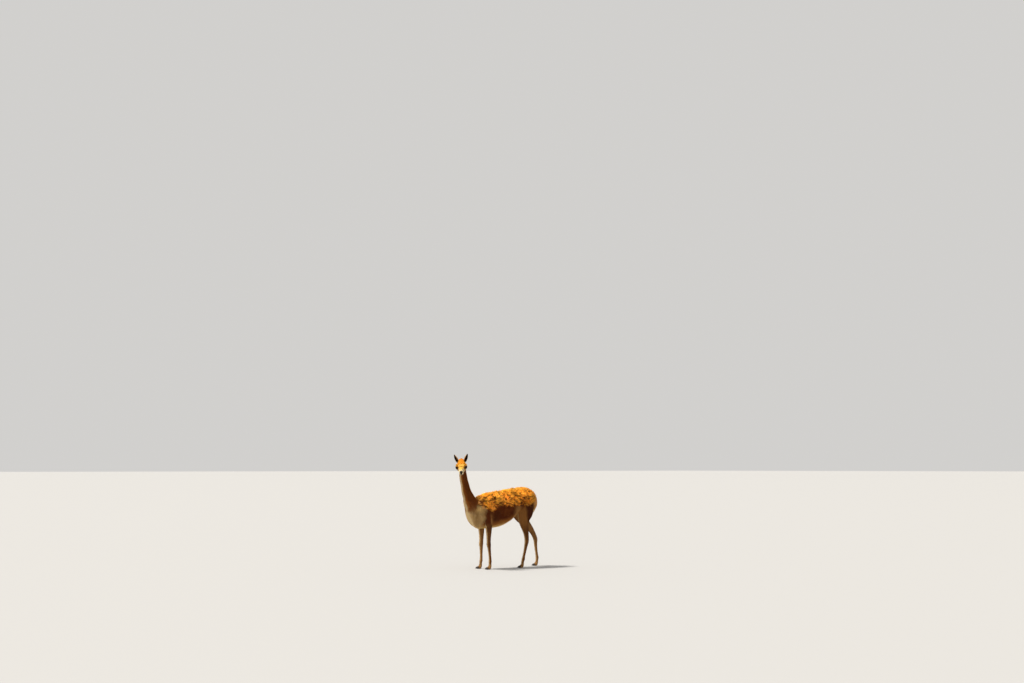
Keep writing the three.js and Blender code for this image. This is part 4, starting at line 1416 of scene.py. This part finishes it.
def fleece_piece(name, clumps, where):
    """A quarter of the wool of the back and upper flanks: rounded clumps with dark gaps between."""
    locks = Locks(clumps, where)
    coat = Coat(body, where, TUFTS["fleece"])
    edge = fleece_edge(coat.root[:, 1]) + EDGE_WANDER * wander(coat.root, 0.03, 1)
    coat.keep(edge - coat.root[:, 2] < clumps.hang[nearest_of(clumps.middle, coat.root)])
    count = coat.count
    lock = nearest_of(locks.root, coat.root + rng.normal(0, 0.0015, coat.root.shape))
    heading = locks.lie[lock] + 0.10 * rng.normal(size=(count, 3))
    heading = unit(along_surface(heading, coat.normal))
    aside = along_surface(coat.root - locks.root[lock], locks.lie[lock])
    pull = locks.pull[lock] - 0.75 * aside + rng.normal(0, 0.0018, (count, 3))
    long = locks.long[lock] * rng.uniform(0.65, 1.08, count)
    layer = rng.uniform(0.35, 1.0, count)
    deep = trunk_depth(coat.root[:, 1], coat.root[:, 2]) * locks.rise[lock] * mix(0.75, 1.06, layer)
    line, normals = coat.paths(heading, long, lambda t: deep * (1 - (1 - t) ** 2.2), FLEECE_RINGS, pull)
    high = locks.rise[lock] * mix(0.8, 1.0, layer)
    upward = coat.normal[:, 2]
    # Painted shade: tufts in the gaps and low-lying tufts are darkened, less where the wool faces up.
    gap_shade = np.maximum(ragged(line[-1]), ramp(0.4, 0.1, high))
    gap_shade = gap_shade * mix(0.9, 0.6, ramp(0.45, 0.95, upward))
    base = painted(coat.read(colours), mix(RUST, ORANGE, 0.4), 1 - coat.read(fleece))
    base = base * locks.tone[lock] * np.exp(rng.normal(0, 0.10, (count, 1)))
    base = layered(
        base,
        # Painted highlight: high locks that face up are made lighter and yellower.
        (mix(GOLD, YELLOW, 0.6), 0.35 * ramp(0.6, 0.95, high) * ramp(-0.2, 0.7, upward)),
        (CLUMP_SHADE, gap_shade),
    )
    base = base * np.exp(0.42 * wander(line[-1] * (1, 0.6, 1), 0.013, 15))[:, None]
    # Painted shade along each tuft: from the dark gap colour at the root to lighter tips.
    along = ramp(0, 0.8, np.linspace(0, 1, FLEECE_RINGS + 1))[:, None, None]
    tones = mix(CLUMP_SHADE, base * TIP_TONE, 0.15 + 0.85 * along)
    wide = rng.uniform(0.0020, 0.0040, count)
    tuft_mesh(name, coat, line, normals, wide, 0.45, tones, "fleece")


def fleece_coat():
    """The wool in four quarters, so that none has too many triangles."""
    reach = fleece_share(body, 0.028)
    clumps = Clumps(reach)
    x, y = body.points[:, 0], body.points[:, 1]
    for end, along in (("front", y < FLEECE_HALFWAY), ("back", y >= FLEECE_HALFWAY)):
        for side, across in (("left", x > 0), ("right", x <= 0)):
            fleece_piece(f"fleece_{end}_{side}", clumps, reach * along * across)


def body_coats():
    """Short coat of flanks, neck, legs, toes and tail, and the long hair of the bib."""
    z = body.points[:, 2]
    trunk = body.on("trunk") * (1 - fleece)
    short_coat("flank", trunk * (1 - bib), 0.029, 0.0024, DEPTHS["flank"], "fleece", 14)
    low_neck = body.on("neck") * ramp(0.84, 0.74, z) * (-body.normals[:, 1] > 0.1)
    hair = trunk * bib + low_neck
    short_coat("bib", hair, 0.075, 0.0027, DEPTHS["bib"], "neck_coat", 8, 3, 0.6, 1.12, curl=0.004)
    under_jaw = ramp(1.08, 1.16, z)
    length = mix(mix(0.022, 0.034, ramp(1.0, 0.8, z)), 0.012, under_jaw)
    depth = mix(DEPTHS["neck"], 0.002, under_jaw)
    neck = body.on("neck") * (1 - 0.8 * low_neck)
    short_coat("neck", neck, length, 0.0019, depth, "neck_coat", 10)
    for name in ("foreleg", "hindleg"):
        upper = ramp(0.4, 0.6, z)
        length, width = mix(0.011, 0.024, upper), mix(0.0013, 0.0024, upper)
        where = body.on(name) * (1 - fleece) / (length * width) * 1e-5
        short_coat(name, where, length, width, 0.0028, "leg_coat", 9)
    short_coat("tail", body.on("tail"), 0.05, 0.0032, DEPTHS["tail"], "fleece", 12, 3, 0.55)
    short_coat("toe", body.on("toe"), 0.007, 0.0011, 0.0013, "leg_coat", 12)


def lash_coat(where, outward):
    """Lashes that stand out from the upper lids and curve up."""
    lashes = Coat(body, where, TUFTS["lashes"])
    way = unit(lashes.read(outward) + 0.2 * rng.normal(size=(lashes.count, 3)) - 0.1 * UP)
    t = np.linspace(0, 1, 4)[:, None, None]
    line = lashes.root + 0.011 * t * way + 0.003 * t**2 * UP
    width = np.full(lashes.count, 0.0006)
    tone = np.broadcast_to(BLACK, line.shape)
    tuft_mesh("lashes", lashes, line, np.broadcast_to(UP, line.shape), width, 0.6, tone, "face_coat")


BROW_AT = (0.040, 0.042, 0.032)
BROW_REACH = (0.020, 0.018, 0.014)


def head_coats():
    """The smallest tufts on the face, longer ones on crown and brows, and the lashes."""
    local = to_head(body.points)
    forward, out, up = local.T
    nose = np.all(np.abs(colours - BLACK) < 0.02, axis=1)
    face = body.on("head") * (1 - nose)
    rims, above_eye = np.full(len(up), 9.0), np.zeros(len(up))
    outward = np.zeros((len(up), 3))
    brow, brow_lie = np.zeros(len(up)), np.zeros((len(up), 3))
    for side in SIDES:
        q, rim = eye_rim(body.points, side)
        near = (q[:, 0] > RIM_FRONT) & (rim < 2)
        rims[near], above_eye[near], outward[near] = rim[near], -q[near, 2], eye_axes(side)[0]
        near = spot(local, sided(BROW_AT, side), BROW_REACH)
        brow += near * (near > 0.15)
        brow_lie += near[:, None] * head_way(-0.1, side, -0.1)
    muzzle = ramp(0.07, 0.11, forward)
    crown = ramp(0.05, 0.02, forward) * ramp(0.02, 0.05, up)
    jaw = ramp(0.05, 0.02, forward) * ramp(0.01, -0.01, up)
    length = mix(mix(mix(0.0095, 0.0045, muzzle), 0.020, crown), 0.006, jaw)
    length = np.minimum(length, mix(0.003, 0.02, ramp(1.0, 1.8, rims)))
    width = mix(mix(0.0010, 0.0007, muzzle), 0.0012, crown)
    depth = mix(mix(mix(0.0020, 0.0012, muzzle), 0.0075, crown), 0.001, jaw)
    where = face / (length * width) * 1e-5 * ramp(0.0028, 0.0048, from_mouth(body.points))
    short_coat("head", where, length, width, depth, "face_coat", 9, dark=0.78)
    lash_coat(face * band(rims, 1.02, 1.1, 0.03) * ramp(0.002, 0.006, above_eye), outward)
    brow *= face * (rims > 1.25)
    short_coat("brow", brow, 0.017, 0.0010, 0.0055, "face_coat", 16, lie=brow_lie)
    short_coat("ear", body.on("ear"), 0.010, 0.0010, 0.0016, "face_coat", 14)


fleece_coat()
body_coats()
head_coats()


# Eyes and nails
PUPIL = (0.36, 0.2)  # half length and half height, as shares of the ball's radius
PUPIL_COLOUR = colour(5, 4, 5)
IRIS_COLOURS = colour(46, 27, 15), colour(24, 15, 10)
WHITE_COLOUR = colour(18, 12, 9)
NAIL_COLOURS = colour(52, 42, 34), colour(30, 24, 20)
NAIL_RIDGES = 0.004  # from one growth line to the next


def eyeball(name, side):
    """A dark glossy ball with a raised cornea, an iris and a level pupil."""
    look, line, over = eye_axes(side)
    points, faces = closed(ball((0, 0, 0), np.eye(3), (1, 1, 1), 60, 72))
    x, y, z = points.T
    angle = np.degrees(np.arccos(np.clip(z, -1, 1)))
    turn = np.arctan2(y, x)
    streaks = 0.5 + 0.5 * np.sin(37 * turn) * np.sin(23 * turn + 1)
    pupil = ramp(1.15, 0.85, np.hypot(x / PUPIL[0], y / PUPIL[1])) * (z > 0)
    iris = painted(*IRIS_COLOURS, streaks)
    tone = layered(WHITE_COLOUR, (iris, ramp(48, 44, angle)), (PUPIL_COLOUR, pupil))
    radius = EYE_RADIUS - 0.0004 + 0.0009 * ramp(64, 0, angle)
    place = eye_place(side) + (points * radius[:, None]) @ np.array([line, over, look])
    eye = made("eyeball_" + name, [(place, faces)])
    eye.data.shade_smooth()
    paint(eye.data, tone)
    finish_piece(eye, "eye", "eye", "eye_" + name)


def nail(name, which, letter):
    """One toe's nail, ridged along its length."""
    rings = tube(toe_rows(name, NAIL_ROWS, which), 40, 40)
    rings[..., 2] = np.maximum(rings[..., 2], SOLE)
    points, faces = closed(rings)
    shell = made(f"{name}_toenail_{letter}", [(points, faces)])
    shell.data.shade_smooth()
    growth = 0.5 + 0.5 * np.sin(points[:, 1] * 2 * np.pi / NAIL_RIDGES)
    paint(shell.data, mix(*NAIL_COLOURS, growth[:, None] * 0.6))
    finish_piece(shell, "nail", "nail", f"{name}_nail_{letter}")


for name, side in (("right", -1), ("left", 1)):
    eyeball(name, side)
for name in LEGS:
    for which, letter in zip(SIDES, "ab"):
        nail(name, which, letter)

FLESH = ["torso", "neck", "head", "ear_left", "ear_right", "tail"]
FLESH += [leg + part for leg in LEGS for part in ("_upper", "_lower", "_foot")]
skin.data.materials.clear()
finish_piece(skin, "skin", "leg_coat", *FLESH)


# Camera at the photo's viewing angle, far off with a 50 mm lens.
TARGET = np.array([0, 0, 0.665]) + SHIFT
TARGET_PIXEL = (500.2, 511.6)
CAMERA_AWAY = 17.0
CAMERA_AZIMUTH = math.radians(52.5)
CAMERA_RISE = math.radians(1.75)
IMAGE = (1024, 683)
LENS, SENSOR = 50, 36

FLOOR_REACH = 400
FLOOR_COLOUR = (0.44, 0.435, 0.425, 1)
SKY_COLOUR = (1.0, 0.985, 0.96, 1)
SKY_STRENGTH = 0.64
KEY_COLOUR = (1.0, 0.96, 0.9)
KEY_STRENGTH = 4.4
KEY_ANGLE = math.radians(10)
KEY_TOWARD = (-0.36, -0.72, 1.5)


def place_camera():
    """Turns the camera so that the target falls on its pixel, with the horizon level."""
    level = math.cos(CAMERA_RISE)
    flat = level * math.sin(CAMERA_AZIMUTH), -level * math.cos(CAMERA_AZIMUTH)
    back = np.array([*flat, math.sin(CAMERA_RISE)])
    focal = LENS / SENSOR * IMAGE[0]
    right, below = ((pixel - size / 2) / focal for pixel, size in zip(TARGET_PIXEL, IMAGE))
    pitch = math.atan(below) - CAMERA_RISE
    yaw = CAMERA_AZIMUTH + math.atan(right * math.cos(math.atan(below)) / level)
    data = bpy.data.cameras.new("camera")
    data.lens, data.sensor_width = LENS, SENSOR
    data.clip_end = 1000
    camera = placed("camera", data)
    camera.location = TARGET + CAMERA_AWAY * back
    camera.rotation_euler = (math.pi / 2 + pitch, 0, yaw)
    bpy.context.scene.camera = camera


def stage_and_light():
    """A pale floor out to the horizon, a soft key light from the upper left and an even sky."""
    mesh = bpy.data.meshes.new("floor")
    corners = [(x * FLOOR_REACH, y * FLOOR_REACH, 0) for x, y in ((-1, -1), (1, -1), (1, 1), (-1, 1))]
    mesh.from_pydata(corners, [], [(0, 1, 2, 3)])
    pale = bpy.data.materials.new("floor")
    pale.use_nodes = True
    surface = {"Base Color": FLOOR_COLOUR, "Roughness": 0.9}
    feed(pale.node_tree, pale.node_tree.nodes["Principled BSDF"], surface)
    mesh.materials.append(pale)
    placed("floor", mesh)
    world = bpy.data.worlds.new("studio")
    bpy.context.scene.world = world
    world.use_nodes = True
    sky = {"Color": SKY_COLOUR, "Strength": SKY_STRENGTH}
    feed(world.node_tree, world.node_tree.nodes["Background"], sky)
    sun = bpy.data.lights.new("key", "SUN")
    sun.energy, sun.angle, sun.color = KEY_STRENGTH, KEY_ANGLE, KEY_COLOUR
    placed("key", sun).rotation_euler = Vector(KEY_TOWARD).to_track_quat("Z", "Y").to_euler()
    bpy.context.scene.view_settings.view_transform = "Standard"


place_camera()
stage_and_light()
